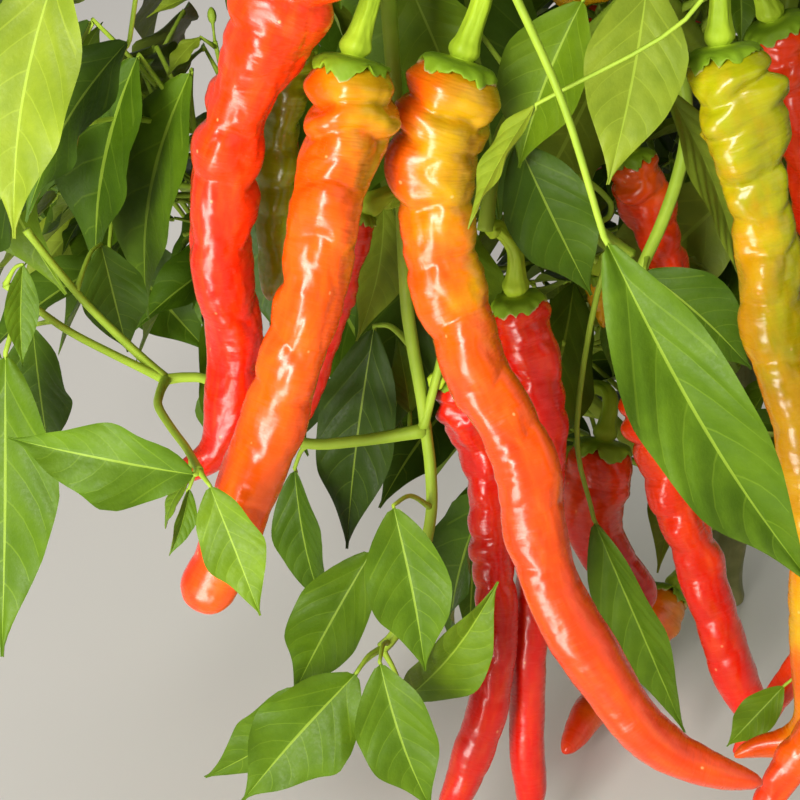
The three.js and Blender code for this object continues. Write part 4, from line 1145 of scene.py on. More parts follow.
def ranged(nodes, link, value, low, high, to_low=0.0, to_high=1.0):
    """A value mapped from low..high to to_low..to_high, held at the ends."""
    node = nodes.new("ShaderNodeMapRange")
    node.interpolation_type = "SMOOTHSTEP"
    for key, number in (("From Min", low), ("From Max", high), ("To Min", to_low), ("To Max", to_high)):
        if isinstance(number, (int, float)):
            node.inputs[key].default_value = number
        else:
            link(number, node.inputs[key])
    link(value, node.inputs["Value"])
    return node.outputs["Result"]


def blended(nodes, link, factor, a, b, kind="MIX"):
    """A colour mix of two sockets or colours."""
    node = nodes.new("ShaderNodeMix")
    node.data_type = "RGBA"
    node.blend_type = kind
    node.clamp_factor = True
    link(factor, node.inputs["Factor"])
    for key, value in (("A", a), ("B", b)):
        socket = [s for s in node.inputs if s.name == key and s.type == "RGBA"][0]
        if isinstance(value, tuple):
            socket.default_value = (*value, 1)
        else:
            link(value, socket)
    return [s for s in node.outputs if s.type == "RGBA"][0]


def bump_into(nodes, link, shader, height, strength, distance):
    bump = nodes.new("ShaderNodeBump")
    bump.inputs["Strength"].default_value = strength
    bump.inputs["Distance"].default_value = distance
    link(height, bump.inputs["Height"])
    link(bump.outputs["Normal"], shader.inputs["Normal"])


def make_pod_skin_group():
    """A pod's skin, by how far down it lies and by its place on the skin laid straight."""
    group, nodes, link, given, out = new_group("pod skin", [
        ("Shoulder", COLOUR, (0.5, 0.5, 0.1, 1)), ("Middle", COLOUR, (0.8, 0.3, 0.02, 1)),
        ("Tip", COLOUR, (0.8, 0.1, 0.02, 1)), ("Turning", NUMBER, 0.2), ("Ripening", NUMBER, 0.7),
    ], [("Color", COLOUR), ("Roughness", NUMBER), ("Height", NUMBER)])
    down = nodes.new("ShaderNodeAttribute")
    down.attribute_name = "down"
    place = nodes.new("ShaderNodeAttribute")
    place.attribute_name = "skin"
    at, skin = down.outputs["Fac"], place.outputs["Vector"]
    blotch = noise_of(nodes, link, skin, 38, 3, 0.6)
    shift = sums(nodes, link, "MULTIPLY", sums(nodes, link, "SUBTRACT", blotch, 0.5), 0.7)
    ripe = sums(nodes, link, "ADD", at, shift)
    steps = []
    for key in ("Turning", "Ripening"):
        low = sums(nodes, link, "SUBTRACT", given.outputs[key], 0.14)
        high = sums(nodes, link, "ADD", given.outputs[key], 0.14)
        steps.append(ranged(nodes, link, ripe, low, high))
    colour = blended(nodes, link, steps[0], given.outputs["Shoulder"], given.outputs["Middle"])
    colour = blended(nodes, link, steps[1], colour, given.outputs["Tip"])
    # Thin lengthwise flecks, cloudy patches and pale corky specks
    flecks = noise_of(nodes, link, skin, 260, 3, 0.6, (1, 1, 0.25))
    fleck = ranged(nodes, link, flecks, 0.4, 0.8, 0.0, 0.12)
    colour = blended(nodes, link, fleck, colour, (0.9, 0.3, 0.02))
    cloud = noise_of(nodes, link, skin, 95, 2, 0.5)
    cloudy = ranged(nodes, link, cloud, 0.3, 0.7, 0.3, 0.0)
    colour = blended(nodes, link, cloudy, colour, (0.7, 0.3, 0.2), "MULTIPLY")
    specks = nodes.new("ShaderNodeTexVoronoi")
    specks.inputs["Scale"].default_value = 95
    link(skin, specks.inputs["Vector"])
    speck = ranged(nodes, link, specks.outputs["Distance"], 0.03, 0.07, 0.4, 0.0)
    colour = blended(nodes, link, speck, colour, (0.9, 0.5, 0.2))
    link(colour, out.inputs["Color"])
    cracks = noise_of(nodes, link, skin, 200, 1, 0.5, (0.5, 0.5, 2.6))
    dull = ranged(nodes, link, cracks, 0.45, 0.65, 0.24, 0.36)
    link(dull, out.inputs["Roughness"])
    creases = noise_of(nodes, link, skin, 300, 1, 0.5, (0.45, 0.45, 2.6))
    puckered = ranged(nodes, link, noise_of(nodes, link, skin, 55, 2, 0.5), 0.42, 0.62, 0.15, 1.0)
    upper = ranged(nodes, link, at, 0.1, 0.75, 1.0, 0.35)
    creases = sums(nodes, link, "MULTIPLY", creases, sums(nodes, link, "MULTIPLY", puckered, upper))
    pits = noise_of(nodes, link, skin, 420, 1, 0.5)
    height = sums(nodes, link, "ADD", creases, sums(nodes, link, "MULTIPLY", pits, 0.3))
    link(height, out.inputs["Height"])
    return group


def make_greenery_group():
    """Mottling and fine relief of green parts, by their place on the plant."""
    group, nodes, link, given, out = new_group("greenery", [
        ("Color", COLOUR, (0.2, 0.4, 0.05, 1)), ("Grain", NUMBER, 400.0), ("Depth", NUMBER, 0.25),
    ], [("Color", COLOUR), ("Roughness", NUMBER), ("Height", NUMBER)])
    where = nodes.new("ShaderNodeTexCoord")
    place = where.outputs["Object"]
    cloud = noise_of(nodes, link, place, 70, 3, 0.6)
    cloudy = ranged(nodes, link, cloud, 0.3, 0.7, 1.0, 0.0)
    depth = sums(nodes, link, "MULTIPLY", cloudy, given.outputs["Depth"])
    colour = blended(nodes, link, depth, given.outputs["Color"], (0.28, 0.42, 0.2), "MULTIPLY")
    grain = nodes.new("ShaderNodeTexNoise")
    grain.inputs["Detail"].default_value = 2
    link(given.outputs["Grain"], grain.inputs["Scale"])
    link(place, grain.inputs["Vector"])
    link(colour, out.inputs["Color"])
    link(ranged(nodes, link, grain.outputs["Fac"], 0.3, 0.7, 0.44, 0.6), out.inputs["Roughness"])
    link(grain.outputs["Fac"], out.inputs["Height"])
    return group


POD_SKIN = make_pod_skin_group()
GREENERY = make_greenery_group()

# Each ripeness: shoulder, middle and tip colours, how far down they change, the slot, and the share
# of its length by which the pod's right side lags
RED, SCARLET, CRIMSON = (0.7, 0.012, 0.001), (0.76, 0.036, 0.002), (0.58, 0.007, 0.001)
ORANGE, AMBER, OLIVE = (0.74, 0.085, 0.001), (0.64, 0.21, 0.002), (0.46, 0.26, 0.002)
YELLOW, LIME, GREEN = (0.6, 0.33, 0.002), (0.34, 0.35, 0.003), (0.25, 0.31, 0.003)
RIPENESS = {
    "red": (SCARLET, SCARLET, RED, 0.12, 0.45, "red_pod", 0.12),
    "scarlet": (ORANGE, SCARLET, RED, 0.1, 0.6, "red_pod", 0.12),
    "crimson": (RED, CRIMSON, CRIMSON, 0.1, 0.5, "red_pod", 0.12),
    "orange": (AMBER, ORANGE, SCARLET, 0.15, 0.8, "orange_pod", 0.12),
    "orange_turning": (OLIVE, ORANGE, SCARLET, 0.12, 0.85, "orange_pod", 0.22),
    "amber_turning": (OLIVE, ORANGE, (0.64, 0.05, 0.004), 0.12, 0.42, "orange_pod", 0.2),
    "yellow": (LIME, YELLOW, YELLOW, 0.2, 0.8, "yellow_pod", 0.12),
    "yellow_turning": (LIME, YELLOW, ORANGE, 0.32, 0.88, "yellow_pod", 0.12),
    "green": (GREEN, GREEN, OLIVE, 0.3, 0.9, "green_pod", 0.12),
}


def pod_material(ripe):
    shoulder, middle, tip, turning, ripening, _, _ = RIPENESS[ripe]
    material, nodes, link, shader = new_material(
        f"pod_skin_{ripe}", 0.3, Specular_IOR_Level=0.22, Coat_Weight=0.5, Coat_Roughness=0.21)
    skin = nodes.new("ShaderNodeGroup")
    skin.node_tree = POD_SKIN
    for key, value in (("Shoulder", shoulder), ("Middle", middle), ("Tip", tip)):
        skin.inputs[key].default_value = (*value, 1)
    skin.inputs["Turning"].default_value = turning
    skin.inputs["Ripening"].default_value = ripening
    link(skin.outputs["Color"], shader.inputs["Base Color"])
    link(skin.outputs["Roughness"], shader.inputs["Roughness"])
    bump_into(nodes, link, shader, skin.outputs["Height"], 0.6, 0.0007)
    return material


def green_material(name, colour, grain, depth, bump, **values):
    material, nodes, link, shader = new_material(name, 0.42, Specular_IOR_Level=0.2, **values)
    green = nodes.new("ShaderNodeGroup")
    green.node_tree = GREENERY
    green.inputs["Color"].default_value = (*colour, 1)
    green.inputs["Grain"].default_value = grain
    green.inputs["Depth"].default_value = depth
    link(green.outputs["Color"], shader.inputs["Base Color"])
    link(green.outputs["Roughness"], shader.inputs["Roughness"])
    bump_into(nodes, link, shader, green.outputs["Height"], bump, 0.0004)
    return material


# The fifth tint, the darkest green, is painted deep shade
LEAF_TINTS = [
    (0.052, 0.108, 0.002), (0.08, 0.152, 0.003), (0.115, 0.195, 0.004), (0.2, 0.265, 0.016),
    (0.034, 0.07, 0.002),
]
UNDER_TINTS = [(0.17, 0.25, 0.025), (0.22, 0.3, 0.04)]
PALE_GREEN = (0.36, 0.5, 0.05)
leaf_materials = []
for kind, tints, depth, bump in (("upper", LEAF_TINTS, 0.4, 0.25), ("under", UNDER_TINTS, 0.25, 0.3)):
    for i, c in enumerate(tints):
        leaf_materials.append(green_material(f"leaf_{kind}_{i + 1}", c, 900, depth, bump))
for kind, own in (("midrib", 0.6), ("vein", 0.93)):
    for i, c in enumerate(LEAF_TINTS):
        paler = tuple(own * a + (1 - own) * b for a, b in zip(c, PALE_GREEN))
        leaf_materials.append(green_material(f"leaf_{kind}_{i + 1}", paler, 900, 0.1, 0.1))
UNDER_SLOT, MIDRIB_SLOT, VEIN_SLOT = 5, 7, 12
pod_materials = {ripe: pod_material(ripe) for ripe in RIPENESS}
stem_green = green_material("stem_green", (0.3, 0.43, 0.035), 350, 0.3, 0.3)
stem_woody = green_material("stem_woody", (0.2, 0.19, 0.07), 240, 0.6, 0.8)


def cap_material():
    """Bright stalk, darker cap and dry brown tips, by the attribute "cap" that runs from 0 to 1 to 2."""
    material = green_material("cap_green", (0.3, 0.45, 0.03), 300, 0.35, 0.5)
    nodes, link = material.node_tree.nodes, material.node_tree.links.new
    group = next(n for n in nodes if n.type == "GROUP")
    part = nodes.new("ShaderNodeAttribute")
    part.attribute_name = "cap"
    on_cap = ranged(nodes, link, part.outputs["Fac"], 0, 1)
    colour = blended(nodes, link, on_cap, (0.38, 0.53, 0.025), (0.19, 0.31, 0.012))
    dry = ranged(nodes, link, part.outputs["Fac"], 1.1, 1.9)
    colour = blended(nodes, link, dry, colour, (0.5, 0.37, 0.17))
    link(colour, group.inputs["Color"])
    return material


cap_green = cap_material()


# Round forms, made straight up the Z axis and then laid along their line
def deselect():
    if bpy.context.object and bpy.context.object.mode != "OBJECT":
        bpy.ops.object.mode_set(mode="OBJECT")
    bpy.ops.object.select_all(action="DESELECT")


def turned_form(name, stations, sides, levels):
    """A closed round form from (height, radius) stations, extruded ring by ring from a circle."""
    deselect()
    low, first = stations[0]
    bpy.ops.mesh.primitive_circle_add(
        vertices=sides, radius=first * MM, fill_type="NOTHING", location=(0, 0, low * MM))
    piece = bpy.context.object
    piece.name = piece.data.name = name
    bpy.ops.object.mode_set(mode="EDIT")
    for (z, r), (z_next, r_next) in zip(stations, stations[1:]):
        bpy.ops.mesh.extrude_region_move(TRANSFORM_OT_translate={"value": (0, 0, (z_next - z) * MM)})
        share = r_next / r
        bpy.ops.transform.resize(value=(share, share, 1), center_override=(0, 0, z_next * MM))
    bpy.ops.mesh.extrude_region_move(TRANSFORM_OT_translate={"value": (0, 0, 0)})
    bpy.ops.mesh.merge(type="CENTER")
    bpy.ops.object.mode_set(mode="OBJECT")
    bpy.ops.object.transform_apply(location=True, rotation=False, scale=False)
    for vertex in piece.data.vertices:
        vertex.select = vertex.co.z < (low + 1e-3) * MM
    for edge in piece.data.edges:
        edge.select = all(piece.data.vertices[k].select for k in edge.vertices)
    bpy.ops.object.mode_set(mode="EDIT")
    bpy.ops.mesh.extrude_region_move(TRANSFORM_OT_translate={"value": (0, 0, 0)})
    bpy.ops.mesh.merge(type="CENTER")
    bpy.ops.mesh.select_all(action="SELECT")
    bpy.ops.mesh.normals_make_consistent(inside=False)
    bpy.ops.object.mode_set(mode="OBJECT")
    finish = piece.modifiers.new("rounding", "SUBSURF")
    finish.levels = finish.render_levels = levels
    bpy.ops.object.modifier_apply(modifier="rounding")
    bpy.ops.object.shade_smooth()
    return piece


def points_of(piece):
    co = np.zeros(len(piece.data.vertices) * 3, np.float32)
    piece.data.vertices.foreach_get("co", co)
    return co.reshape(-1, 3).astype(float) / MM


def set_points(piece, points):
    piece.data.vertices.foreach_set("co", (points * MM).astype(np.float32).ravel())
    piece.data.update()


def laid_along(points, line, start):
    """Points of a straight form laid along a line. Height `start` of the form lies at its first point."""
    at = lengths_along(line)
    path = np.array(line)
    frames = cross_frames(line)
    u_all, v_all = np.array([f[0] for f in frames]), np.array([f[1] for f in frames])
    s = points[:, 2] - start
    held = np.clip(s, 0, at[-1])
    centre, u, v = (
        np.stack([np.interp(held, at, run[:, k]) for k in range(3)], 1) for run in (path, u_all, v_all)
    )
    ahead = np.cross(u, v)
    u, v, ahead = (a / np.linalg.norm(a, axis=1, keepdims=True) for a in (u, v, ahead))
    return centre + points[:, :1] * u + points[:, 1:2] * v + (s - held)[:, None] * ahead


def noise_at(x, y, z):
    return np.array([noise.noise(Vector(p)) for p in zip(x, y, z)])


def give_values(piece, name, kind, values):
    layer = piece.data.attributes.new(name, kind, "POINT")
    key = "vector" if kind == "FLOAT_VECTOR" else "value"
    layer.data.foreach_set(key, np.asarray(values, np.float32).ravel())


# The share of the wrinkles that the smoother pods have
SMOOTH_PODS = {"pod_red_shaded": 0.35, "pod_orange_low": 0.3, "pod_red_centre": 0.75, "pod_small_2": 0.6}


# Wrinkles of a pod of full radius: how far creases sink and cushions rise, near the cap beyond what
# is left at the tip and at the tip, and the length over which they fade
FULL_RADIUS = 14
CREASE_DEPTH = (3.2, 0.35)
CUSHION_HEIGHT = (6.2, 0.6)
FADE_LENGTH = 86


def polar(points):
    """The angle, radius, height, cosine and sine of points round the Z axis."""
    angle = np.arctan2(points[:, 1], points[:, 0])
    return angle, np.hypot(points[:, 0], points[:, 1]), points[:, 2], np.cos(angle), np.sin(angle)


def wrinkled(points, pod, seed):
    """A pod's skin laid straight: pinched rings near its cap, one-sided cushions, short cross ripples."""
    angle, radius, s, cos, sin = polar(points)
    share = np.clip(radius / (0.6 * pod["radius"]), 0, 1)
    bulk = pod["radius"] / FULL_RADIUS
    fade = np.exp(-np.clip(s, 0, None) / (FADE_LENGTH * bulk))
    random = seeded(int(1000 * seed) + 7)
    creases = [-3.0, 14 * bulk]
    while creases[-1] < pod["long"] + 20:
        creases.append(creases[-1] + bulk * (9 + 8 * random() + 0.08 * creases[-1]))
    wander = 5.5 * bulk * noise_at(0.8 * cos + seed, 0.8 * sin, s / 60)
    place = np.interp(s + wander, creases, np.arange(len(creases)))
    nearest, cell = np.rint(place), np.floor(place)
    gate = np.clip(0.6 + 1.7 * noise_at(0.7 * cos + 5.3 * nearest, 0.7 * sin + seed, s * 0), 0, 1.2)
    gate = np.where(nearest == 1, np.maximum(gate, 0.8), gate)
    lift = -(CREASE_DEPTH[0] * fade + CREASE_DEPTH[1]) * gate * (1 - 2 * np.abs(place - nearest)) ** 2.4
    cushions = noise_at(0.7 * cos + 3.7 * cell, 0.7 * sin + seed, s * 0)
    height = CUSHION_HEIGHT[0] * fade + CUSHION_HEIGHT[1]
    lift += height * cushions * np.sin(np.pi * np.clip(place - cell, 0, 1)) ** 0.7
    lift += 1.7 * noise_at(0.4 * cos + seed, 0.4 * sin + 9, s / 34)
    folded = noise_at(1.5 * cos + seed, 1.5 * sin + 5, s / 8 / bulk)
    lift += (0.1 + 0.6 * fade) * (np.minimum(1, np.abs(folded) * 2.4) - 0.5)
    lift *= SMOOTH_PODS.get(pod["name"], 1)
    patches = np.clip(0.4 + 1.8 * noise_at(0.8 * cos + 4, 0.8 * sin + seed, s / 24), 0, 1)
    lift += patches * (0.2 + 0.4 * fade) * noise_at(1.0 * cos + seed, 1.0 * sin, s / 2.9)
    lift += 0.7 * np.cos(3 * angle + seed + s / 60) * fade
    under_cap = np.clip((s - 3.5) / 6, 0, 1)
    down = s / bulk
    waist = np.clip((down - 22) / 33, 0, 1)
    radius = radius * (1 + 0.06 * np.exp(-((down - 18) / 14) ** 2) - 0.14 * waist * waist * (3 - 2 * waist))
    radius = radius + share * bulk * lift * under_cap * under_cap * (3 - 2 * under_cap)
    hold = np.clip(s / 20, 0, 1) * np.clip((pod["long"] - s) / 15, 0, 1)
    drift = [2.2 * hold * noise_at(s * 0 + seed + k, s * 0, s / 28) for k in (0, 20)]
    return np.stack([radius * cos + drift[0], radius * sin + drift[1], s], 1)


def stations_of_pod(pod, spacing):
    places = [3.0, 6.0, 9.0]
    count = max(4, round((pod["long"] - 9) / spacing))
    places += [9 + (pod["long"] - 9) * i / count for i in range(1, count)]
    places += [pod["long"] - 0.35 * pod["radius"] * pod["taper"] - 1.5, pod["long"] - 0.4]
    places = sorted(set(places))
    stations = [(1.0, 0.4 * pod["radius"]), (1.5, 0.6 * pod["radius"])]
    stations += [(p, max(pod_radius(pod, p), 0.5)) for p in places]
    return [s for i, s in enumerate(stations) if i < 3 or s[0] - stations[i - 1][0] > 0.3]


def make_fruit(pod, rank, seed):
    """The pod itself. Rank 0 is nearest the eye, and 2 belongs to the rest of the crown."""
    spacing, sides, levels = [(3.0, 20, 2), (4.2, 15, 2), (4.5, 16, 1)][rank] if FINE else (4, 18, 1)
    piece = turned_form(pod["name"] + "_fruit", stations_of_pod(pod, spacing), sides, levels)
    straight = points_of(piece)
    bent = wrinkled(straight, pod, seed)
    laid = laid_along(bent, pod["fine"], 0)
    centre = laid_along(bent * (0, 0, 1), pod["fine"], 0)
    shaded_side = (laid - centre)[:, 0] / pod["radius"]
    lag = RIPENESS[pod["ripe"]][6]
    give_values(piece, "down", "FLOAT", straight[:, 2] / pod["long"] - lag * shaded_side)
    place = straight * MM
    place[:, 0] += 0.31 * seed
    give_values(piece, "skin", "FLOAT_VECTOR", place)
    set_points(piece, laid)
    piece.data.materials.append(pod_materials[pod["ripe"]])
    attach(piece, "root")
    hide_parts(pod.get("kin", pod["name"]))


# How far a stalk bows to the right
STALK_BOW = 4

# The knob that ends the stalk: height past the calyx, and share of its full radius
KNOB = ((-5.6, 0.8), (-4.0, 0.97), (-2.4, 1), (-1.2, 0.86), (-0.5, 0.7), (-0.3, 0.7))

# The top side of the cap: height past the calyx, share of the pod's radius, and what is added
CAP_PLATE = ((0.1, 0.58, 0), (0.5, 0.7, 0.2), (1.2, 0.77, 0.5), (2.2, 0.81, 0.7), (3.3, 0.83, 0.9))


def make_cap(pod, rank, seed):
    """The ribbed stalk with the knob that ends it, and the thin ragged cap on the pod's shoulder."""
    first, second, third = pod["stalk"]
    stalk = smooth([first, second, add(third, (STALK_BOW, 0, 0)), pod["points"][0]], 6)
    below = [p for p, at in zip(pod["fine"], lengths_along(pod["fine"])) if at < 30][1:]
    reach = float(lengths_along(stalk)[-1])
    thick = 1.6 + 1.2 * pod["radius"] / FULL_RADIUS
    knob = thick + 2.1
    stations = [(-1.0, thick + 0.9), (1.5, thick + 0.5), (4, thick)]
    count = max(2, round((reach - 14) / 6))
    stations += [
        (4 + (reach - 14) * i / count, thick + 0.4 * (i / count) ** 2) for i in range(1, count + 1)
    ]
    stations += [(reach - 7.5, thick + 0.8)] + [(reach + a, b * knob) for a, b in KNOB]
    stations += [(reach + a, b * pod["radius"] + c) for a, b, c in CAP_PLATE]
    stations += [(reach + 3.7, pod_radius(pod, 3.7)), (reach + 2.9, pod_radius(pod, 2.9) - 0.8)]
    stations += [(reach + 1.7, pod_radius(pod, 1.7) - 1.8)]
    stations = [(float(z), float(r)) for z, r in stations]
    piece = turned_form(pod["name"] + "_cap", stations, 20 if FINE else 16, 2 if rank < 2 and FINE else 1)
    angle, radius, s, cos, sin = polar(points_of(piece))
    ribs = 1 + 0.06 * np.cos(5 * angle + s / 40 + seed) * np.clip(1.2 - (s - reach + 7.5) / 6, 0, 1)
    skirt = np.clip((s - reach - 1) / 2.4, 0, 1)
    ragged = noise_at(2.6 * cos + seed, 2.6 * sin, s * 0)
    frayed = noise_at(6.5 * cos, 6.5 * sin + seed, s * 0)
    teeth = 0.7 * np.cos(5 * angle + seed) ** 3 + 1.5 * ragged + 1.1 * frayed
    on_cap = np.clip((s - reach + 0.3) / 0.4, 0, 1)
    puckers = noise_at(3.2 * cos, 3.2 * sin + seed, s / 4)
    pleats = np.cos(10 * angle + 2 * seed) * np.clip(1 - np.abs(s - reach - 1.6) / 1.8, 0, 1)
    radius = radius * ribs + (0.2 + 0.5 * on_cap) * puckers + 0.3 * pleats
    radius = radius + 0.5 * skirt * np.clip(teeth, 0, 1)
    shaped = np.stack([radius * cos, radius * sin, s + skirt * 1.5 * teeth], 1)
    dry = np.clip((s - reach - 2.7) / 0.7, 0, 1) * np.clip(0.1 + 2.6 * ragged + frayed, 0, 1)
    give_values(piece, "cap", "FLOAT", on_cap + dry)
    set_points(piece, laid_along(shaped, stalk + below, 0))
    piece.data.materials.append(cap_green)
    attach(piece, "root")
    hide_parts(pod.get("kin", pod["name"]))


def make_limb(name, limb, seed):
    """A limb's skin: a collar at its parent, ribs along it and the swollen node that ends it."""
    main = name == "main_stem"
    line = smooth(limb["line"], 4)
    start = unit(sub(line[1], line[0]))
    sink = 0 if main else 3.0
    line = ([] if main else [sub(line[0], mul(start, sink))]) + line
    at = lengths_along(line)
    long = float(at[-1])
    given = np.interp(np.linspace(0, 1, 80), np.linspace(0, 1, len(limb["radii"])), limb["radii"])
    reach = long + limb["node"]
    spacing = 5.0
    places = list(np.linspace(0, long - limb["node"], max(4, round((long - limb["node"]) / spacing))))
    places += [long + share * limb["node"] for share in (-0.6, -0.25, 0.2, 0.6, 0.88)]
    stations = []
    for place in places:
        r = float(np.interp(min(place, long) / long, np.linspace(0, 1, 80), given))
        if main:
            r = STEM_FOOT_RADIUS + STEM_TAPER * place / long
            r += FOOT_FLARE * math.exp(-place / 7)
        else:
            r *= 1 + 0.45 * math.exp(-place / 5)
        inside = limb["node"] ** 2 - (place - long) ** 2
        ball = math.sqrt(inside) if inside > 0 else 0
        stations.append((place, max(ball, r if place < long else 0, 0.8)))
    sides, levels = ((14, 2) if main else (16, 1)) if FINE else (8, 1)
    piece = turned_form(name + "_bark", stations, sides, levels)
    angle, radius, s, cos, sin = polar(points_of(piece))
    ribs = 0.05 * np.cos(5 * angle + s / 50 + seed) * np.clip((reach - s) / 12, 0, 1)
    rough = noise_at(2.2 * cos + seed, 2.2 * sin, s / (26 if main else 14))
    fissures = noise_at(4.5 * cos, 4.5 * sin + seed, s / 30)
    depth = 0.55 if main else 0.18
    lift = ribs * radius + depth * rough + (0.5 * (np.abs(fissures) * 2 - 0.4) if main else 0)
    if main:
        lift *= np.clip(s / 6, 0.3, 1)
    radius = radius + lift * np.clip(radius / 2, 0, 1)
    shaped = np.stack([radius * cos, radius * sin, s], 1)
    if main:
        shaped[s < 0.01, 2] = 0
    set_points(piece, laid_along(shaped, line, 0))
    piece.data.materials.append(stem_woody if main else stem_green)
    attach(piece, "root")
    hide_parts(name)


BLADE_THICK = 0.42


def leaf_look(leaf, random, spray_tint):
    """A leaf's own fold, wave, phase and tint, drawn for its spray."""
    tint = spray_tint if random() < 0.6 else int(5 * random()) % 5
    tint = leaf.get("tint", tint)
    return {"fold": 0.08 + 0.42 * random(), "wave": 0.06 + 0.16 * random(), "phase": random(), "tint": tint,
            "under": UNDER_SLOT + int(2 * random()) % 2}


def take_leaf(gathered, leaf, grid, look):
    quilt = 0.005 if grid is CROWN_GRID else 0.008
    points = grid.points(leaf, look["fold"], look["wave"], look["phase"], quilt, BLADE_THICK)
    tint = look["tint"]
    upper = np.where(grid.midrib, MIDRIB_SLOT + tint, np.where(grid.vein, VEIN_SLOT + tint, tint))
    under = np.where(grid.midrib | grid.vein, MIDRIB_SLOT + PALE, look["under"])
    gathered.take(points, grid.faces, [upper, under], grid.rims)


def take_petiole(gathered, leaf, fine):
    """A petiole that swells at its node and runs out under the blade."""
    long = size(sub(leaf["tip"], leaf["foot"]))
    run = [midrib_at(leaf, t) for t in (0.03, 0.08)]
    under = mul(leaf["normal"], -0.8)
    line = smooth(petiole_line(leaf), 5 if fine else 2) + [add(p, under) for p in run]
    count = len(line) - 1
    thick = 0.55 + 0.0055 * long
    radii = [thick * (1 + 0.5 * math.exp(-6 * i / count) - 0.3 * i / count) for i in range(count + 1)]
    points, quads, caps = swept(line, radii, 8 if fine else 5)
    gathered.take(points, [quads, caps], [0, 0])


def bud(end, heading, random):
    """A flower bud on its short stalk."""
    out = unit(add(heading, (random() - 0.5, random() - 0.5, -0.3 * random())))
    line = [add(end, mul(out, at)) for at in (0, 3, 6, 7, 8.5, 10, 11, 11.6)]
    return swept(line, (0.6, 0.45, 0.6, 1.3, 1.6, 1.4, 0.9, 0.3), 6)


# Half the width round the picture's middle where leaves have the finer grid, and the triangles
# at which a joined piece is full
FINER_HALF = 128
PIECE_FULL = 190000


def in_picture(leaf):
    """Whether the eye sees a leaf's middle in the picture or close beside it."""
    across, up = on_picture(mix(leaf["foot"], leaf["tip"], 0.5))
    return abs(across) < FINER_HALF and abs(up) < FINER_HALF


def make_foliage(masses):
    """The leaves and twigs of all the masses, each kind joined into its own pieces."""
    leaves = {"front": [Gathered()], "crown": [Gathered()]}
    twigs = {"front": [Gathered()], "crown": [Gathered()]}
    for mass in masses:
        random = seeded(mass.get("seed", 77) * 3 + 11)
        front = "space" not in mass
        kind = "front" if front else "crown"
        for stem in mass["stems"]:
            gathered = twigs[kind][-1]
            if gathered.triangles > PIECE_FULL:
                twigs[kind].append(Gathered())
                gathered = twigs[kind][-1]
            line = smooth(stem["line"], 6 if front else 4)
            at = np.linspace(0, 1, len(line))
            radii = np.interp(at, np.linspace(0, 1, len(stem["radii"])), stem["radii"])
            radii = radii * (1 + 0.35 * np.exp(-at * 14) + 0.25 * np.exp(-(1 - at) * 14))
            points, quads, caps = swept(line, radii, 12 if front else 6, 0.08 if front else 0)
            gathered.take(points, [quads, caps], [0, 0])
        spray_tint = int(5 * random()) % 5
        for i, leaf in enumerate(mass["leaves"]):
            if i % 4 == 0:
                spray_tint = int(5 * random()) % 5
            near_eye = leaf["fine"] or (in_picture(leaf) and leaf["foot"][1] < 40)
            grid = FINE_GRID if leaf["fine"] else MIDDLE_GRID if near_eye else CROWN_GRID
            take_leaf(leaves[kind][-1], leaf, grid, leaf_look(leaf, random, spray_tint))
            take_petiole(twigs[kind][-1], leaf, leaf["fine"])
            if leaves[kind][-1].triangles > PIECE_FULL:
                leaves[kind].append(Gathered())
        for k, (end, heading) in enumerate(mass["tips"]):
            if k % 2:
                points, quads, caps = bud(end, heading, random)
                twigs[kind][-1].take(points, [quads, caps], [0, 0])
    fronts = [m["name"] for m in masses if "space" not in m]
    crowns = [m["name"] for m in masses if m["name"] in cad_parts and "space" in m]
    for kind, names in (("front", fronts), ("crown", crowns)):
        for label, lists, materials in (("leaves", leaves, leaf_materials), ("twigs", twigs, [stem_green])):
            for i, gathered in enumerate(g for g in lists[kind] if g.count):
                piece = gathered.piece(f"{label}_{kind}_{i + 1}", materials)
                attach(piece, "root")
                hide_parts(*names)


# The lights: name, place, aim, width and height, spread in degrees, watts and colour
AIM = (-0.06, -0.12, 0.24)
LIGHTS = [
    ("key_light", (-0.8, -1.6, 0.86), AIM, (0.4, 1.6), 70, 8.6, (1.0, 0.97, 0.9)),
    ("low_light", (-0.48, -0.84, 0.055), (-0.44, -0.75, 1), (0.2, 0.9), 180, 9, (1.0, 0.97, 0.9)),
    ("fill_light", (1.5, -1.2, 1.2), AIM, (1.8, 1.8), 120, 2.8, (1.0, 0.98, 0.95)),
    ("back_light", (0.3, 1.6, 1.5), AIM, (1.4, 1.4), 100, 4.2, (1.0, 0.97, 0.92)),
]
SENSOR_WIDTH = 36
SHOWN_HALF = 117.65


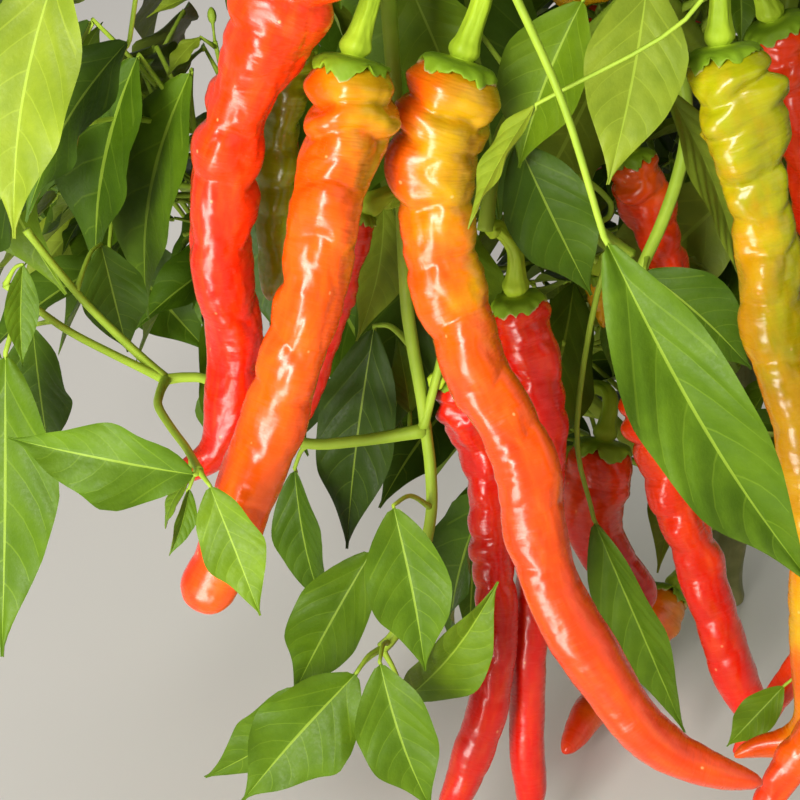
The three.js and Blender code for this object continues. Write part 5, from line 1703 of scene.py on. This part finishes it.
def make_stage():
    """A pale floor, soft lights and the camera at the picture's eye."""
    deselect()
    bpy.ops.mesh.primitive_circle_add(vertices=96, radius=24, fill_type="NGON", location=(0, 0, -0.0005))
    floor = bpy.context.object
    floor.name = "floor"
    material, _, _, shader = new_material("floor_paper", 0.8)
    shader.inputs["Base Color"].default_value = (0.72, 0.705, 0.68, 1)
    floor.data.materials.append(material)
    world = bpy.data.worlds.new("studio")
    world.use_nodes = True
    world.node_tree.nodes["Background"].inputs[0].default_value = (1.0, 0.98, 0.94, 1)
    world.node_tree.nodes["Background"].inputs[1].default_value = 0.36
    bpy.context.scene.world = world
    for name, place, aim, wide, spread, power, colour in LIGHTS:
        light = bpy.data.lights.new(name, "AREA")
        light.shape = "RECTANGLE"
        light.size, light.size_y = wide
        light.spread = math.radians(spread)
        light.energy = power
        light.color = colour
        lamp = bpy.data.objects.new(name, light)
        lamp.location = place
        lamp.rotation_euler = (Vector(aim) - Vector(place)).to_track_quat("-Z", "Y").to_euler()
        lamp.visible_camera = False
        bpy.context.scene.collection.objects.link(lamp)
    camera = bpy.data.cameras.new("eye")
    camera.sensor_width = SENSOR_WIDTH
    camera.lens = 0.5 * SENSOR_WIDTH * PICTURE_DISTANCE / SHOWN_HALF
    camera.clip_start = 0.02
    eye = bpy.data.objects.new("eye", camera)
    eye.location = Vector(EYE) * MM
    eye.rotation_euler = Vector(VIEW_AXIS).to_track_quat("-Z", "Y").to_euler()
    bpy.context.scene.collection.objects.link(eye)
    bpy.context.scene.camera = eye
    bpy.context.scene.view_settings.view_transform = "Standard"


make_stage()
limbs, pods, masses = grow_plant()
pods += add_small_things(masses)
masses.append(grow_side_shoots(limbs))
fill_in(masses)
carry_on(masses)
for i, (name, limb) in enumerate(limbs.items()):
    make_limb(name, limb, 1.7 * i)
NEAR_PODS = ("pod_red_left", "pod_orange_left", "pod_orange_centre", "pod_yellow_right")
for i, pod in enumerate(pods):
    rank = 0 if pod["name"] in NEAR_PODS else 2 if pod["name"].startswith("pod_crown") else 1
    make_fruit(pod, rank, 1.3 * i + 0.7)
    make_cap(pod, rank, 1.3 * i + 0.7)
make_foliage(masses)
